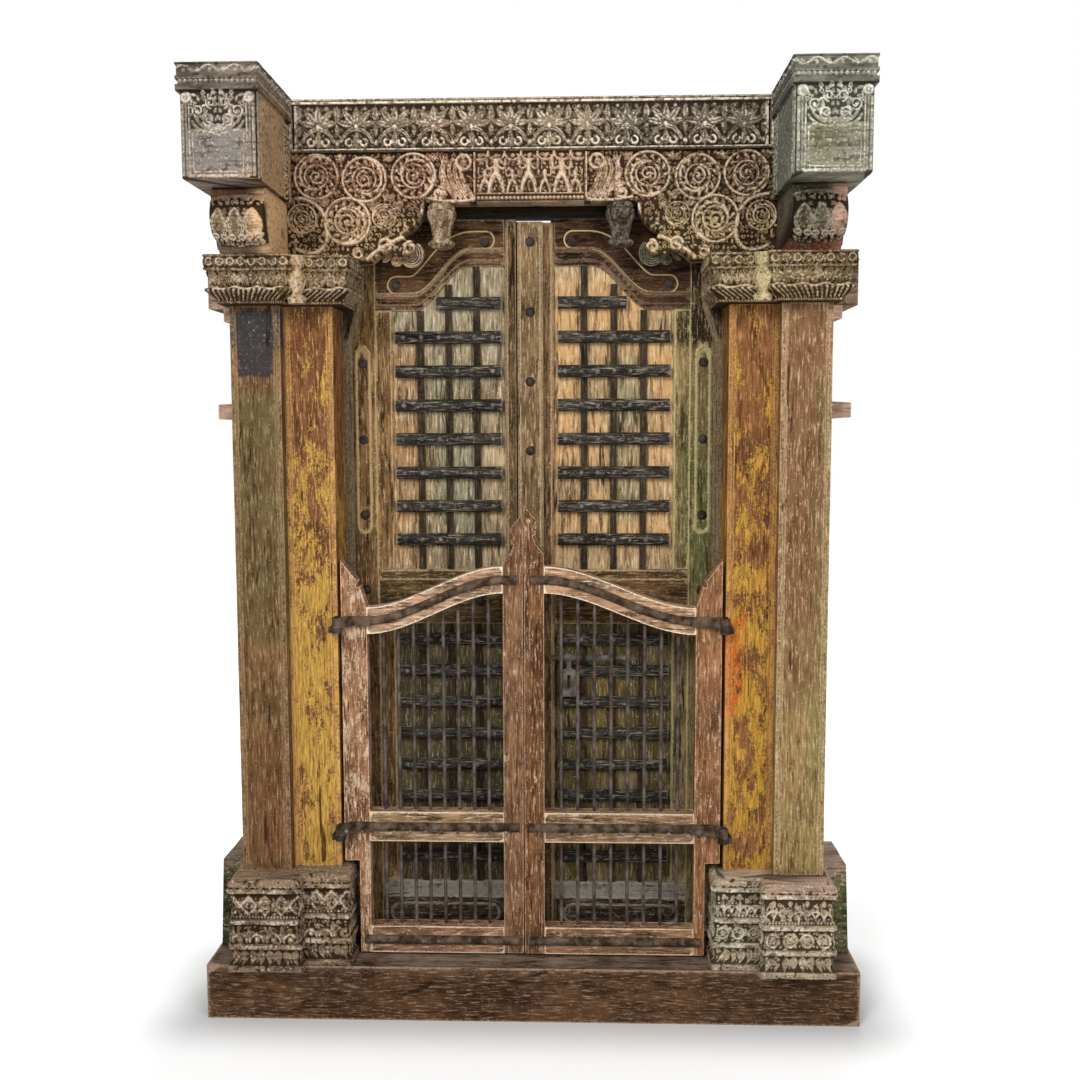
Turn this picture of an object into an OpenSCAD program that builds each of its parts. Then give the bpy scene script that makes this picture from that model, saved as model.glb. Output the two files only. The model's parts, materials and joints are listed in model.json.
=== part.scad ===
// Carved double doorway with half gates.
// A sill carries carved bases, paired posts, capitals, corbels and cross-beam ends.
// Between the beam ends sit a carved lintel, two spandrels, a figure frieze and a head beam.
// Two panelled leaves swing in on wooden pivots, two barred gates swing out on pintles.
// Frame: x = 0 on the middle of the opening, y = 0 on the front of the inner posts with
// +Y to the back, z = 0 on the floor. Sides are modelled on +X and mirrored for the left.

/* [Opening] */
// Clear width between the inner posts
opening_w = 1014; // [980:1:1080]
// Height of the posts between base and capital
post_h = 1475; // [1400:5:1600]
// Back plane of the posts and beams, behind the inner posts' front
frame_back = 230; // [215:1:250]

/* [Sill] */
// Height of the sill beam
sill_h = 145; // [110:1:180]
// Reach of the sill in front of the inner posts
sill_front = 75; // [40:1:110]
// Reach of the sill behind the inner posts' front
sill_back = 260; // [255:1:300]
// Overhang of the sill past the base blocks at each end
sill_overhang = 17; // [10:1:60]

/* [Posts] */
// Width of the inner post
inner_post_w = 127; // [110:1:150]
// Width of the outer post
outer_post_w = 129; // [110:1:150]
// How far the outer post stands in front of the inner one
outer_post_proud = 35; // [10:1:60]
// Width and depth of the groove beside each post edge
post_quirk = 4; // [2:0.5:8]
// Width of the bead between the groove and the post's corner
post_bead = 11; // [6:0.5:18]

/* [Bases] */
// Height of the carved bases
base_h = 245; // [200:1:300]
// Reach of the outer column in front of the inner posts
base_front = 115; // [90:1:140]
// Reach of the inner column in front of the inner posts
base_inner_front = 70; // [50:1:85]
// How far the inner column stands into the opening
base_lip = 35; // [25:1:38]
// How far the outer column stands out past the outer post
base_side = 22; // [10:1:40]
// How far the outer column laps over the inner post
base_lap = 42; // [20:1:55]
// How far the plain rear block stands out past the outer post
base_block_side = 76; // [40:1:90]
// Front of the plain rear block
base_block_front = 43; // [20:1:90]
// Back of the carved columns
base_back = 100; // [95:1:130]
// Depth of the base mouldings
base_step = 19; // [10:1:24]

/* [Capitals] */
// Height of the capitals
capital_h = 120; // [90:1:150]
// Reach of the outer part in front of the inner posts
capital_front = 100; // [80:1:130]
// Reach of the inner part in front of the inner posts
capital_inner_front = 65; // [45:1:78]
// Overhang past the outer post
capital_side = 42; // [20:1:70]
// Overhang into the opening
capital_lip = 57; // [30:1:75]
// Depth of the capital's mouldings
capital_step = 26; // [16:1:36]
// How far the plain block behind the capital stands out past the outer post
capital_block_side = 76; // [45:1:90]
// Front of the plain block behind the capital's outer end
capital_block_front = 43; // [20:1:90]
// How far the plain block hangs below the capital
capital_block_drop = 34; // [15:1:60]
// Back of the capital over the inner post
capital_back = 130; // [120:1:140]

/* [Corbels] */
// Height of the corbels
corbel_h = 150; // [120:1:180]
// Reach of the corbel in front of the inner posts
corbel_front = 200; // [170:1:240]

/* [Beam ends] */
// Height of the cross beams
beam_end_h = 260; // [230:1:300]
// Width of the cross beams
beam_end_w = 175; // [150:1:195]
// How far the cross beam laps over the inner post
beam_end_lap = 12; // [5:1:28]
// Reach of the cross beams in front of the inner posts
beam_end_front = 270; // [220:1:320]
// Height of the crown moulding
crown_h = 62; // [45:1:80]
// How far the crown stands out
crown_out = 9; // [4:1:12]

/* [Lintel] */
// Front of the lintel beam, behind the inner posts' front
lintel_front = 47; // [30:1:60]
// Height of the border along the top of the frieze
lintel_border = 16; // [10:1:24]
// Repeats in the lotus frieze
lintel_units = 12; // [10:1:15]
// Depth of the carving on lintel, beam ends, bases and capitals
carve_depth = 6; // [3:0.5:9]

/* [Tympanum] */
// Height of the upper row of the tympanum
tympanum_h = 130; // [110:1:150]
// How far the tympanum lies behind the lintel's front
tympanum_set = 22; // [12:1:30]
// Width of the figure frieze in the centre
figure_w = 278; // [240:1:320]
// Depth of the carving on the tympanum
scroll_depth = 12; // [6:0.5:14]
// Largest radius of a pendant
pendant_r = 40; // [30:1:48]
// Height of a pendant
pendant_h = 117; // [90:1:140]
// How far the head beam's soffit hangs below the tympanum
head_drop = 21; // [10:1:30]

/* [Architraves] */
// How far the strips beside the leaves stand into the opening
architrave_w = 24; // [20:1:30]
// How far they stand into the opening over their shoulder
architrave_head_w = 58; // [40:1:64]
// Thickness of the strips
architrave_t = 15; // [12:1:16]

/* [Leaves] */
// Thickness of the leaf frames
leaf_t = 42; // [38:1:46]
// Front of the leaves, behind the inner posts' front
leaf_front = 160; // [155:1:170]
// Gap between leaf and inner post
leaf_gap = 13; // [11:0.5:20]
// Gap under the leaves
leaf_floor = 8; // [4:1:14]
// Gap over the leaves
leaf_head = 7; // [5:1:20]
// Place of the joint between the leaves, left of the middle
leaf_joint_x = 41; // [30:1:60]
// Gap between the two leaves
leaf_joint_gap = 4; // [3:0.5:8]
// Width of the hinge stiles
hinge_stile_w = 71; // [64:1:84]
// Width of the left leaf's meeting stile
left_meeting_w = 31; // [28:1:50]
// Width of the right leaf's meeting stile
right_meeting_w = 98; // [90:1:110]
// Height of the top rail at its outer end
top_rail_end_h = 238; // [210:1:260]
// Height of the top rail at its inner end
top_rail_mid_h = 121; // [112:1:150]
// Height of the mid rail's lower edge above the sill
mid_rail_z = 875; // [820:1:920]
// Height of the mid rail
mid_rail_h = 122; // [90:1:150]
// Height of the bottom rail
bottom_rail_h = 93; // [70:1:120]
// Width of the moulding beside the panels
panel_mould_w = 44; // [30:1:55]
// Height of the moulding under the upper panel
panel_mould_h = 28; // [20:1:40]
// Height of the moulding over the bottom rail
foot_mould_h = 44; // [30:1:60]
// Height of the moulding along the top rail's arch
arch_mould_h = 36; // [24:1:44]
// Thickness of the rails' front lip over the boards
lip_t = 16; // [14:1:18]
// Lap of the boards behind the lip
rebate = 10; // [6:1:14]

/* [Panels] */
// Thickness of the boards
board_t = 14; // [10:1:18]
// Boards in each panel
board_count = 4; // [3:1:5]
// Width of the battens over the board joints
batten_w = 18; // [12:1:26]
// Thickness of the battens
batten_t = 10; // [6:1:12]
// Height of the studded bars
bar_h = 34; // [26:1:40]
// Depth of the studded bars
bar_d = 16; // [10:1:20]
// Bars on each panel
bar_count = 8; // [6:1:9]
// Radius of the iron bosses
boss_r = 13; // [9:0.5:16]
// Height of the iron bosses
boss_h = 8; // [5:0.5:11]
// Width of the astragal on the right leaf
astragal_w = 69; // [60:1:80]
// Thickness of the astragal
astragal_t = 20; // [14:1:24]

/* [Pivots] */
// Radius of the leaf pivots
pivot_r = 12; // [9:0.5:14]
// Length of the leaf pivots in their sockets
pivot_l = 38; // [25:1:50]

/* [Gates] */
// Thickness of the gates
gate_t = 45; // [38:1:50]
// Gap between gate and inner post
gate_gap = 9; // [7:0.5:14]
// Gap under the gates
gate_floor = 8; // [4:1:14]
// Place of the joint between the gates, left of the middle
gate_joint_x = 19; // [0:1:30]
// Gap between the gates at the front
gate_joint_gap = 2; // [2:0.5:5]
// How much the meeting edges are bevelled away to the back
gate_bevel = 8; // [7:0.5:12]
// Width of the outer stiles
gate_stile_w = 68; // [60:1:80]
// Width of the meeting stiles
gate_meeting_w = 53; // [46:1:64]
// Height of the bottom rail
gate_bottom_h = 72; // [55:1:90]
// Height of the mid rail's lower edge above the gate's foot
gate_mid_z = 306; // [270:1:340]
// Height of the mid rail
gate_mid_h = 80; // [60:1:95]
// Height of the top rail's lower edge above the gate's foot, at the outer end
gate_top_z = 864; // [820:1:900]
// Height of the top rail
gate_top_h = 70; // [60:1:85]
// Rise of the top rail towards the middle
gate_rise = 108; // [80:1:130]
// Height of the ears over the gate's foot
gate_ear_z = 1059; // [1040:1:1100]
// Height of the right gate's finial over its foot
right_finial_z = 1204; // [1180:1:1250]
// Height of the left gate's finial over its foot
left_finial_z = 1181; // [1170:1:1250]

/* [Gate iron] */
// Radius of the gate bars
gate_bar_r = 4.5; // [3:0.5:6]
// Bars in each gate
gate_bar_count = 8; // [6:1:9]
// Width of the iron straps
strap_w = 24; // [18:1:28]
// Thickness of the iron straps
strap_t = 11; // [8:0.5:12]
// Radius of the pintle pins
pin_r = 6.5; // [5:0.5:7.5]
// Wall of the strap's eye round the pin
eye_wall = 6; // [4:0.5:7]
// Distance of the pins in front of the gates
pin_front = 32; // [30:1:36]
// Distance of the pins from the inner posts
pin_side = 5; // [3:0.5:7]

/* [Bolt] */
// Radius of the bolt
bolt_r = 7; // [5:0.5:8]
// Length of the bolt
bolt_l = 222; // [210:1:260]
// Place of the bolt's tip, right of the middle, drawn back
bolt_x = 50; // [45:1:60]
// Width of the hasp plate
hasp_w = 50; // [36:1:56]
// Length of the hasp below the bolt
hasp_l = 108; // [80:1:115]

/* [Hidden] */
$fn = 48;

// Overrun of cuts past the faces they open, and bite of carving into its ground
over = 1;
// Running clearance of pins, bars and sliding iron
clear = 0.3;

// Levels
z_post = sill_h + base_h;
z_capital = z_post + post_h;
z_corbel = z_capital + capital_h;
z_beam = z_corbel + corbel_h;
z_top = z_beam + beam_end_h;
z_lintel = z_beam + tympanum_h;
z_soffit = z_beam - head_drop;
// Places across the front
x_open = opening_w / 2;
x_split = x_open + inner_post_w;
x_outer = x_split + outer_post_w;
x_base_in = x_open - base_lip;
x_base_mid = x_split - base_lap;
x_base_out = x_outer + base_side;
x_block = x_outer + base_block_side;
x_beam = x_split - beam_end_lap;
// Depths
y_tympanum = lintel_front + tympanum_set;
y_tongue = capital_back;

// Set-in and height of each step of a base column, from the foot up
base_profile_shares = [[0, 0], [0, 0.08], [0.5, 0.12], [0.5, 0.2], [0.15, 0.24],
    [0.15, 0.3], [0.4, 0.31], [0.4, 0.38], [0.5, 0.39], [0.5, 0.5], [0.25, 0.52],
    [0.25, 0.56], [0.55, 0.57], [0.55, 0.61], [0.6, 0.62], [0.6, 0.84], [0.2, 0.86],
    [0.2, 0.92], [1, 1]];
// Set-in and height of each step of a capital, from the neck up
capital_profile_shares = [[1, 0], [0.9, 0.06], [0.9, 0.1], [0.12, 0.26], [0.12, 0.31], [0.62, 0.34],
    [0.56, 0.46], [0.2, 0.64], [0.2, 0.68], [0, 0.7], [0, 1]];

// Extrude a y-z outline along x, an x-z outline along y, or a plan along z
module along_x(x0, x1) {
    translate([x0, 0, 0]) rotate([90, 0, 90]) linear_extrude(x1 - x0) children();
}
module along_y(y0, y1) {
    translate([0, y1, 0]) rotate([90, 0, 0]) linear_extrude(y1 - y0) children();
}
module along_z(z0, z1) {
    translate([0, 0, z0]) linear_extrude(z1 - z0) children();
}
// A box from its low to its high corner
module block(low, high) {
    translate(low) cube(high - low);
}
// Round bar along x, y or z between two places
module rod_x(x0, x1, y, z, r) {
    translate([x0, y, z]) rotate([0, 90, 0]) cylinder(h = x1 - x0, r = r);
}
module rod_z(x, y, z0, z1, r) {
    translate([x, y, z0]) cylinder(h = z1 - z0, r = r);
}

// Leaf outline from the origin along +X, the overlap of two arcs
module leaf_2d(l, w) {
    r = (l * l + w * w) / (4 * w);
    intersection() {
        translate([l / 2, r - w / 2]) circle(r);
        translate([l / 2, w / 2 - r]) circle(r);
    }
}
// A leaf at a place, turned by an angle
module leaf_at(p, a, l, w) {
    translate(p) rotate(a) leaf_2d(l, w);
}
module ring_2d(r, w) {
    difference() {
        circle(r);
        circle(r - w);
    }
}
// Ring of leaves that point outwards; a leaf has an inner radius, a length and a width
module leaf_ring_2d(n, leaf) {
    for (i = [0 : n - 1]) rotate(i * 360 / n) leaf_at([leaf[0], 0], 0, leaf[1], leaf[2]);
}
// Closed loop with round ends, along z, for the raised beads on the leaves
module loop_2d(l, w, t) {
    difference() {
        slot_2d(l, w);
        slot_2d(l - 2 * t, w - 2 * t);
    }
}
module slot_2d(l, w) {
    square([w, l - w], center = true);
    for (s = [-1, 1]) translate([0, s * (l - w) / 2]) circle(w / 2);
}

// Moulded block with its profile mitred round the front and both sides
function side_points(x0, x1, z0, h, step, shares) = concat(
    [for (p = shares) [x0 + p[0] * step, z0 + p[1] * h]],
    [for (i = [len(shares) - 1 : -1 : 0]) [x1 - shares[i][0] * step, z0 + shares[i][1] * h]]);
function front_points(y0, y1, z0, h, step, shares) = concat(
    [for (p = shares) [y0 + p[0] * step, z0 + p[1] * h]],
    [[y1, z0 + h], [y1, z0]]);
module moulded_block(x0, x1, y0, y1, z0, h, step, shares) {
    intersection() {
        along_x(x0, x1) polygon(front_points(y0, y1, z0, h, step, shares));
        along_y(y0, y1) polygon(side_points(x0, x1, z0, h, step, shares));
    }
}
// Raised carving on a front face at depth y
module carve(y, depth) {
    along_y(y - depth, y + over) children();
}

// Sill beam with a socket for each leaf pivot
leaf_edge = x_open - leaf_gap;
pivot_x = leaf_edge - leaf_t / 2;
pivot_y = leaf_front + leaf_t / 2;
module sockets(z0, z1) {
    for (s = [-1, 1]) rod_z(s * pivot_x, pivot_y, z0, z1, pivot_r + clear);
}
module sill() {
    half = x_block + sill_overhang;
    color("#4b3626") difference() {
        block([-half, -sill_front, 0], [half, sill_back, sill_h]);
        sockets(sill_h - pivot_l, sill_h + over);
    }
}

// Carved base: two moulded columns in front of one plain block
arch_share = 0.445;
arch_r_share = 0.055;
arch_w_share = 0.014;
petal_l_share = 0.12;
zigzag_low_share = 0.65;
zigzag_high_share = 0.81;
zigzag_w_share = 0.02;
module base_carving(x0, x1, front, n) {
    pitch = (x1 - x0) / n;
    face = front + base_step;
    carve(-face + base_step * base_profile_shares[8][0] + base_step, carve_depth)
        for (i = [0 : n - 1]) translate([x0 + (i + 0.5) * pitch, sill_h + arch_share * base_h]) {
            ring_2d(arch_r_share * base_h, arch_w_share * base_h);
            circle(arch_w_share * base_h);
        }
    carve(-face + base_step * base_profile_shares[2][0] + base_step, carve_depth)
        for (i = [0 : 2 * n - 1])
            leaf_at([x0 + (i + 0.5) * pitch / 2, sill_h + base_profile_shares[3][1] * base_h], -90,
                petal_l_share * base_h, pitch / 2 - over);
    carve(-face + base_step * base_profile_shares[14][0] + base_step, carve_depth)
        for (s = [0 : 1]) zigzag_2d(x0, pitch, n, s);
}
// One run of a zigzag band; the two runs cross
module zigzag_2d(x0, pitch, n, flip) {
    z = [for (k = [0, 1]) sill_h + base_h * (k == flip ? zigzag_low_share : zigzag_high_share)];
    w = zigzag_w_share * base_h;
    upper = [for (i = [0 : n]) [x0 + i * pitch, z[i % 2] + w / 2]];
    lower = [for (i = [n : -1 : 0]) [x0 + i * pitch, z[i % 2] - w / 2]];
    polygon(concat(upper, lower));
}
module base() {
    block_slope = base_step / 2;
    color("#9d927f") {
        union() {
            moulded_block(x_base_mid, x_base_out, -base_front, base_back, sill_h, base_h,
                base_step, base_profile_shares);
            moulded_block(x_base_in, x_base_mid + base_step, -base_inner_front, base_back,
                sill_h, base_h, base_step, base_profile_shares);
            along_y(base_block_front, frame_back) polygon([[x_open, sill_h],
                [x_block + block_slope, sill_h], [x_block, z_post], [x_open, z_post]]);
            base_carving(x_base_mid + base_step, x_base_out - base_step, base_front, 4);
            base_carving(x_base_in + base_step, x_base_mid - base_step / 2, base_inner_front, 3);
        }
    }
}

// Posts with a groove and bead along each front edge
module post_plan(x0, x1, y0, y1) {
    difference() {
        translate([x0, y0]) square([x1 - x0, y1 - y0]);
        for (x = [x0 + post_bead, x1 - post_bead - post_quirk])
            translate([x, y0 - over]) square([post_quirk, post_quirk + over]);
    }
}
module outer_post() {
    color("#6d5136") along_z(z_post, z_capital)
        post_plan(x_split, x_outer, -outer_post_proud, frame_back);
}
// The inner post's rear tongue runs up behind the capital, widens over it and carries the head beam
module inner_post() {
    color("#a07a35") difference() {
        union() {
            along_z(z_post, z_capital) post_plan(x_open, x_split, 0, frame_back);
            block([x_open, y_tongue, z_capital - over], [x_base_mid, frame_back, z_soffit]);
            block([x_open, y_tongue, z_corbel], [x_split, frame_back, z_soffit]);
        }
        for (z = strap_levels) pintle_shank(z);
    }
}

// Capital over both posts, with a turned pot in its re-entrant corner
capital_ring_share = 0.84;
capital_ring_r_share = 0.1;
// Place up and length of the tongues and of the darts
capital_tongue_shares = [0.62, 0.27];
capital_dart_shares = [0.28, 0.24];
pot_r_share = 0.2;
pot_outline_shares = [[0.9, 0], [1, 0.12], [0.55, 0.2], [0.7, 0.3], [1, 0.5], [0.75, 0.66],
    [0.5, 0.72], [0.95, 0.86], [0.95, 1]];
// Bands of rings, tongues and darts, from the top down
module capital_carving(x0, x1, front, n) {
    pitch = (x1 - x0) / n;
    ring = capital_ring_r_share * capital_h;
    for (i = [0 : n - 1]) {
        x = x0 + (i + 0.5) * pitch;
        carve(-front, carve_depth) translate([x, z_capital + capital_ring_share * capital_h]) {
            ring_2d(ring, ring / 3);
            circle(ring / 3);
        }
        along_y(-front + capital_profile_shares[7][0] * capital_step, -front + capital_step) {
            leaf_at([x, z_capital + capital_tongue_shares[0] * capital_h], -90,
                capital_tongue_shares[1] * capital_h, pitch / 2);
            leaf_at([x, z_capital + capital_dart_shares[0] * capital_h], -90,
                capital_dart_shares[1] * capital_h, pitch / 2);
        }
    }
}
module pot(x, y, z, h, r) {
    translate([x, y, z]) rotate_extrude()
        polygon(concat([[0, 0]], [for (p = pot_outline_shares) [p[0] * r, p[1] * h]], [[0, h]]));
}
module capital() {
    x_in = x_open - capital_lip;
    x_out = x_outer + capital_side;
    pot_r = pot_r_share * capital_h;
    color("#8b7857") union() {
        moulded_block(x_base_mid, x_out, -capital_front, frame_back, z_capital, capital_h,
            capital_step, capital_profile_shares);
        intersection() {
            moulded_block(x_in, x_out, -capital_inner_front, capital_back, z_capital,
                capital_h, capital_step, capital_profile_shares);
            block([x_in, -capital_front, z_capital], [x_split, capital_back, z_corbel]);
        }
        capital_block(x_outer + capital_block_side);
        capital_carving(x_base_mid + capital_step, x_out - capital_step, capital_front, 5);
        capital_carving(x_in + capital_step, x_base_mid - pot_r, capital_inner_front, 3);
        pot(x_base_mid - pot_r / 2, -capital_inner_front - pot_r / 4, z_capital, capital_h, pot_r);
    }
}
// Plain block behind the outer end, notched down beside the post
module capital_block(x_out) {
    block([x_outer, capital_block_front, z_capital], [x_out, frame_back, z_corbel]);
    block([x_outer, capital_block_front, z_capital - capital_block_drop],
        [(x_outer + x_out) / 2, frame_back, z_capital + over]);
}

// Corbel: lobed leaves roll over a bulge and hang in front of a hollow, with a volute on each cheek
bulge_r_share = 0.46;
bulge_z_share = 0.53;
hollow_r_share = 0.2;
cheek_share = 0.07;
collar_share = 0.16;
lobe_w_share = 0.26;
lobe_shares = [0.2, 0.5, 0.8];
tip_w_share = 0.17;
tip_l_share = 0.36;
tip_z_share = 0.4;
tip_y_share = 0.78;
module corbel() {
    r = bulge_r_share * corbel_h;
    x0 = x_split;
    x1 = x_outer;
    cheek = cheek_share * outer_post_w;
    y_bulge = -corbel_front + r;
    z_bulge = z_corbel + bulge_z_share * corbel_h;
    color("#7d6a4b") union() {
        along_x(x0 + cheek, x1 - cheek) difference() {
            union() {
                translate([y_bulge, z_corbel]) square([frame_back - y_bulge, corbel_h]);
                translate([y_bulge, z_bulge]) circle(r - carve_depth);
            }
            translate([y_bulge, z_corbel]) circle(hollow_r_share * corbel_h);
        }
        for (x = [x0, x1 - 2 * cheek])
            rod_x(x, x + 2 * cheek, y_bulge, z_bulge, r - cheek);
        block([x0, y_tympanum, z_corbel], [x1, frame_back, z_beam]);
        block([x0, y_bulge - cheek, z_beam - collar_share * corbel_h], [x1, y_tympanum, z_beam]);
        intersection() {
            along_x(x0, x1) translate([y_bulge, z_bulge]) circle(r);
            along_y(-corbel_front - over, y_bulge) for (p = lobe_shares)
                leaf_at([x0 + p * outer_post_w, z_bulge + r], -90, 2 * r, lobe_w_share * outer_post_w);
        }
        carve(-tip_y_share * corbel_front, carve_depth) for (p = lobe_shares)
            leaf_at([x0 + p * outer_post_w, z_corbel + tip_z_share * corbel_h], -90,
                tip_l_share * corbel_h, tip_w_share * outer_post_w);
    }
}

// Cross beam with a crown, a framed front and a foliage drop
beam_rim_share = 0.09;
drop_top_share = 0.74;
drop_leaf_shares = [[0.5, 0.44, 90, 0.28], [0.46, 0.5, 140, 0.3], [0.54, 0.5, 40, 0.3],
    [0.44, 0.5, 190, 0.3], [0.56, 0.5, -10, 0.3], [0.3, 0.62, 110, 0.13], [0.7, 0.62, 70, 0.13],
    [0.18, 0.62, 90, 0.13], [0.82, 0.62, 90, 0.13]];
module beam_end() {
    x1 = x_beam + beam_end_w;
    rim = beam_rim_share * beam_end_w;
    color("#7b7a6c") union() {
        difference() {
            block([x_beam, -beam_end_front, z_beam], [x1, frame_back, z_top]);
            block([x_beam + rim, -beam_end_front - over, z_beam + rim],
                [x1 - rim, carve_depth - beam_end_front, z_top - crown_h]);
            block([x_beam - over, rim - beam_end_front, z_beam + rim],
                [x_beam + carve_depth, lintel_front - rim, z_top - crown_h]);
        }
        crown();
        carve(-beam_end_front + carve_depth, carve_depth) for (p = drop_leaf_shares)
            leaf_at([x_beam + p[0] * beam_end_w, z_beam + p[1] * beam_end_h], p[2],
                p[3] * beam_end_w, p[3] * beam_end_w / 3);
    }
}
// Crown of two bands that run along the front and the inner side as far as the lintel
module crown() {
    x1 = x_beam + beam_end_w + crown_out;
    band = crown_h / 5;
    for (z = [z_top - crown_h, z_top - crown_h + 2 * band])
        difference() {
            block([x_beam - crown_out, -beam_end_front - crown_out, z],
                [x1, frame_back, z == z_top - crown_h ? z + band : z_top]);
            block([x_beam - crown_out - over, lintel_front, z - over],
                [x_beam, frame_back + over, z_top + over]);
        }
}

// Lintel beam with a border and a repeating eight-petalled lotus
petal_shares = [[45, 0.14, 0.48, 0.16], [135, 0.14, 0.48, 0.16], [225, 0.14, 0.48, 0.16],
    [315, 0.14, 0.48, 0.16], [0, 0.14, 0.3, 0.12], [180, 0.14, 0.3, 0.12],
    [90, 0.14, 0.3, 0.12], [270, 0.14, 0.3, 0.12]];
heart_share = 0.09;
curl_share = 0.06;
curl_z_share = -0.38;
lintel_end_share = 0.1;
lintel_fillet_shares = [0.4, 1.4];
module lotus_2d(w, h) {
    curl = curl_share * h;
    circle(heart_share * h);
    for (p = petal_shares) rotate(p[0]) leaf_at([p[1] * h, 0], 0, p[2] * h, p[3] * h);
    for (s = [-1, 1]) translate([s * w / 4, curl_z_share * h]) ring_2d(curl, curl / 2);
}
module lintel_beam() {
    end = lintel_end_share * (z_top - z_lintel);
    low = z_lintel + lintel_border / 2;
    field_h = z_top - lintel_border - low;
    pitch = 2 * (x_beam - 2 * end) / lintel_units;
    ground = lintel_front + carve_depth;
    color("#6f5d44") union() {
        block([-x_beam, ground, z_lintel], [x_beam, frame_back, z_top]);
        block([-x_beam, lintel_front, z_top - lintel_border], [x_beam, ground + over, z_top]);
        block([-x_beam, lintel_front, z_lintel], [x_beam, ground + over, low]);
        for (s = [-1, 1], k = lintel_fillet_shares) translate([s * (x_beam - k * end), 0, 0])
            block([-end / 4, lintel_front, low - over],
                [end / 4, ground + over, z_top - lintel_border + over]);
        carve(ground, carve_depth) for (i = [0 : lintel_units - 1])
            translate([(i + 0.5 - lintel_units / 2) * pitch, low + field_h / 2])
                lotus_2d(pitch, field_h);
    }
}

// Spandrel: roundels of scrolls over a bracket that arches down to the capital
x_figure = figure_w / 2;
spandrel_w = x_split - x_figure;
spandrel_h = z_lintel - z_corbel;
// Place across and up, and radius over the upper row's height, of each roundel
roundel_shares = [[0.329, 0.779, 0.45], [0.588, 0.75, 0.45], [0.84, 0.779, 0.45],
    [0.485, 0.414, 0.25], [0.681, 0.371, 0.48], [0.919, 0.396, 0.3]];
// Lower edge of the bracket, from the pendant's side down to the capital
bracket_share = 0.277;
bracket_shares = [[0.282, 0.46], [0.31, 0.37], [0.348, 0.3], [0.395, 0.26], [0.376, 0.2],
    [0.338, 0.19], [0.319, 0.13], [0.357, 0.07], [0.423, 0.06], [0.47, 0.1], [0.517, 0.07],
    [0.564, 0]];
x_bracket = x_figure + bracket_share * spandrel_w;
// Loose leaves that fill the ground: place, direction and length
filler_shares = [[0.03, 0.93, -62, 0.66], [0.09, 0.95, -58, 0.58], [0.15, 0.96, -52, 0.4],
    [0.04, 0.58, 20, 0.5], [0.46, 0.6, 95, 0.16], [0.71, 0.59, 90, 0.16], [0.72, 0.12, 70, 0.2],
    [0.68, 0.05, 20, 0.17], [0.84, 0.16, 60, 0.2], [0.92, 0.06, 110, 0.2], [0.46, 0.95, 0, 0.07]];
// Radius and width of the two rings of a roundel
roundel_ring_shares = [[1, 0.13], [0.58, 0.1]];
// Inner radius, length and width of the leaves in its rim and in its heart
rim_leaf_shares = [0.62, 0.22, 0.14];
heart_leaf_shares = [0.14, 0.3, 0.2];
heart_r_share = 0.1;
rim_leaves = 12;
heart_leaves = 5;
module roundel_2d(r) {
    for (p = roundel_ring_shares) ring_2d(p[0] * r, p[1] * r);
    leaf_ring_2d(rim_leaves, rim_leaf_shares * r);
    leaf_ring_2d(heart_leaves, heart_leaf_shares * r);
    circle(heart_r_share * r);
}
module spandrel() {
    y1 = capital_back;
    function place(p) = [x_figure + p[0] * spandrel_w, z_corbel + p[1] * spandrel_h];
    outline = concat([[x_figure, z_lintel], [x_figure, z_beam], [x_bracket, z_beam]],
        [for (p = bracket_shares) place(p)],
        [[x_split, z_corbel], [x_split, z_beam], [x_beam, z_beam], [x_beam, z_lintel]]);
    color("#8a6a4c") union() {
        along_y(y_tympanum, y1) polygon(outline);
        carve(y_tympanum, scroll_depth) {
            for (p = roundel_shares) translate(place(p)) roundel_2d(p[2] * tympanum_h);
            for (p = filler_shares)
                leaf_at(place(p), p[2], p[3] * tympanum_h, p[3] * tympanum_h / 3);
        }
    }
}

// Figure frieze: large and small plain dancers in turn, over a bead row
// Place across and height of each figure
figure_shares = [[-0.42, 0.66], [-0.317, 1], [-0.165, 0.66], [-0.018, 1], [0.137, 0.66],
    [0.288, 1], [0.42, 0.66]];
bead_count = 24;
bead_share = 0.08;
// Height and radius of a head; place up, length and width of a body
head_shares = [0.84, 0.075];
body_shares = [0.46, 0.3, 0.2];
// Place across and up, length and width of a leg and of an arm, and their angles to the upright
leg_shares = [0.05, 0.47, 0.44, 0.11];
arm_shares = [0.12, 0.66, 0.26, 0.07];
leg_angle = 22;
arm_angle = 24;
bead_fill_share = 0.8;
module figure_2d(h) {
    head = head_shares * h;
    body = body_shares * h;
    leg = leg_shares * h;
    arm = arm_shares * h;
    translate([0, head[0]]) circle(head[1]);
    leaf_at([0, body[0]], 90, body[1], body[2]);
    for (s = [-1, 1]) {
        leaf_at([s * leg[0], leg[1]], -90 + s * leg_angle, leg[2], leg[3]);
        leaf_at([s * arm[0], arm[1]], 90 - s * arm_angle, arm[2], arm[3]);
    }
}
module figure_frieze() {
    bead_h = bead_share * tympanum_h;
    figure_h = tympanum_h - 2 * bead_h;
    color("#8d6247") union() {
        block([-x_figure, y_tympanum, z_beam], [x_figure, capital_back, z_lintel]);
        carve(y_tympanum, scroll_depth) {
            for (p = figure_shares)
                translate([p[0] * figure_w, z_beam + 2 * bead_h]) figure_2d(p[1] * figure_h);
            for (i = [0 : bead_count - 1])
                translate([(i + 0.5) * figure_w / bead_count - x_figure, z_beam + bead_h])
                    circle(bead_fill_share * figure_w / bead_count / 2);
        }
    }
}

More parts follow.
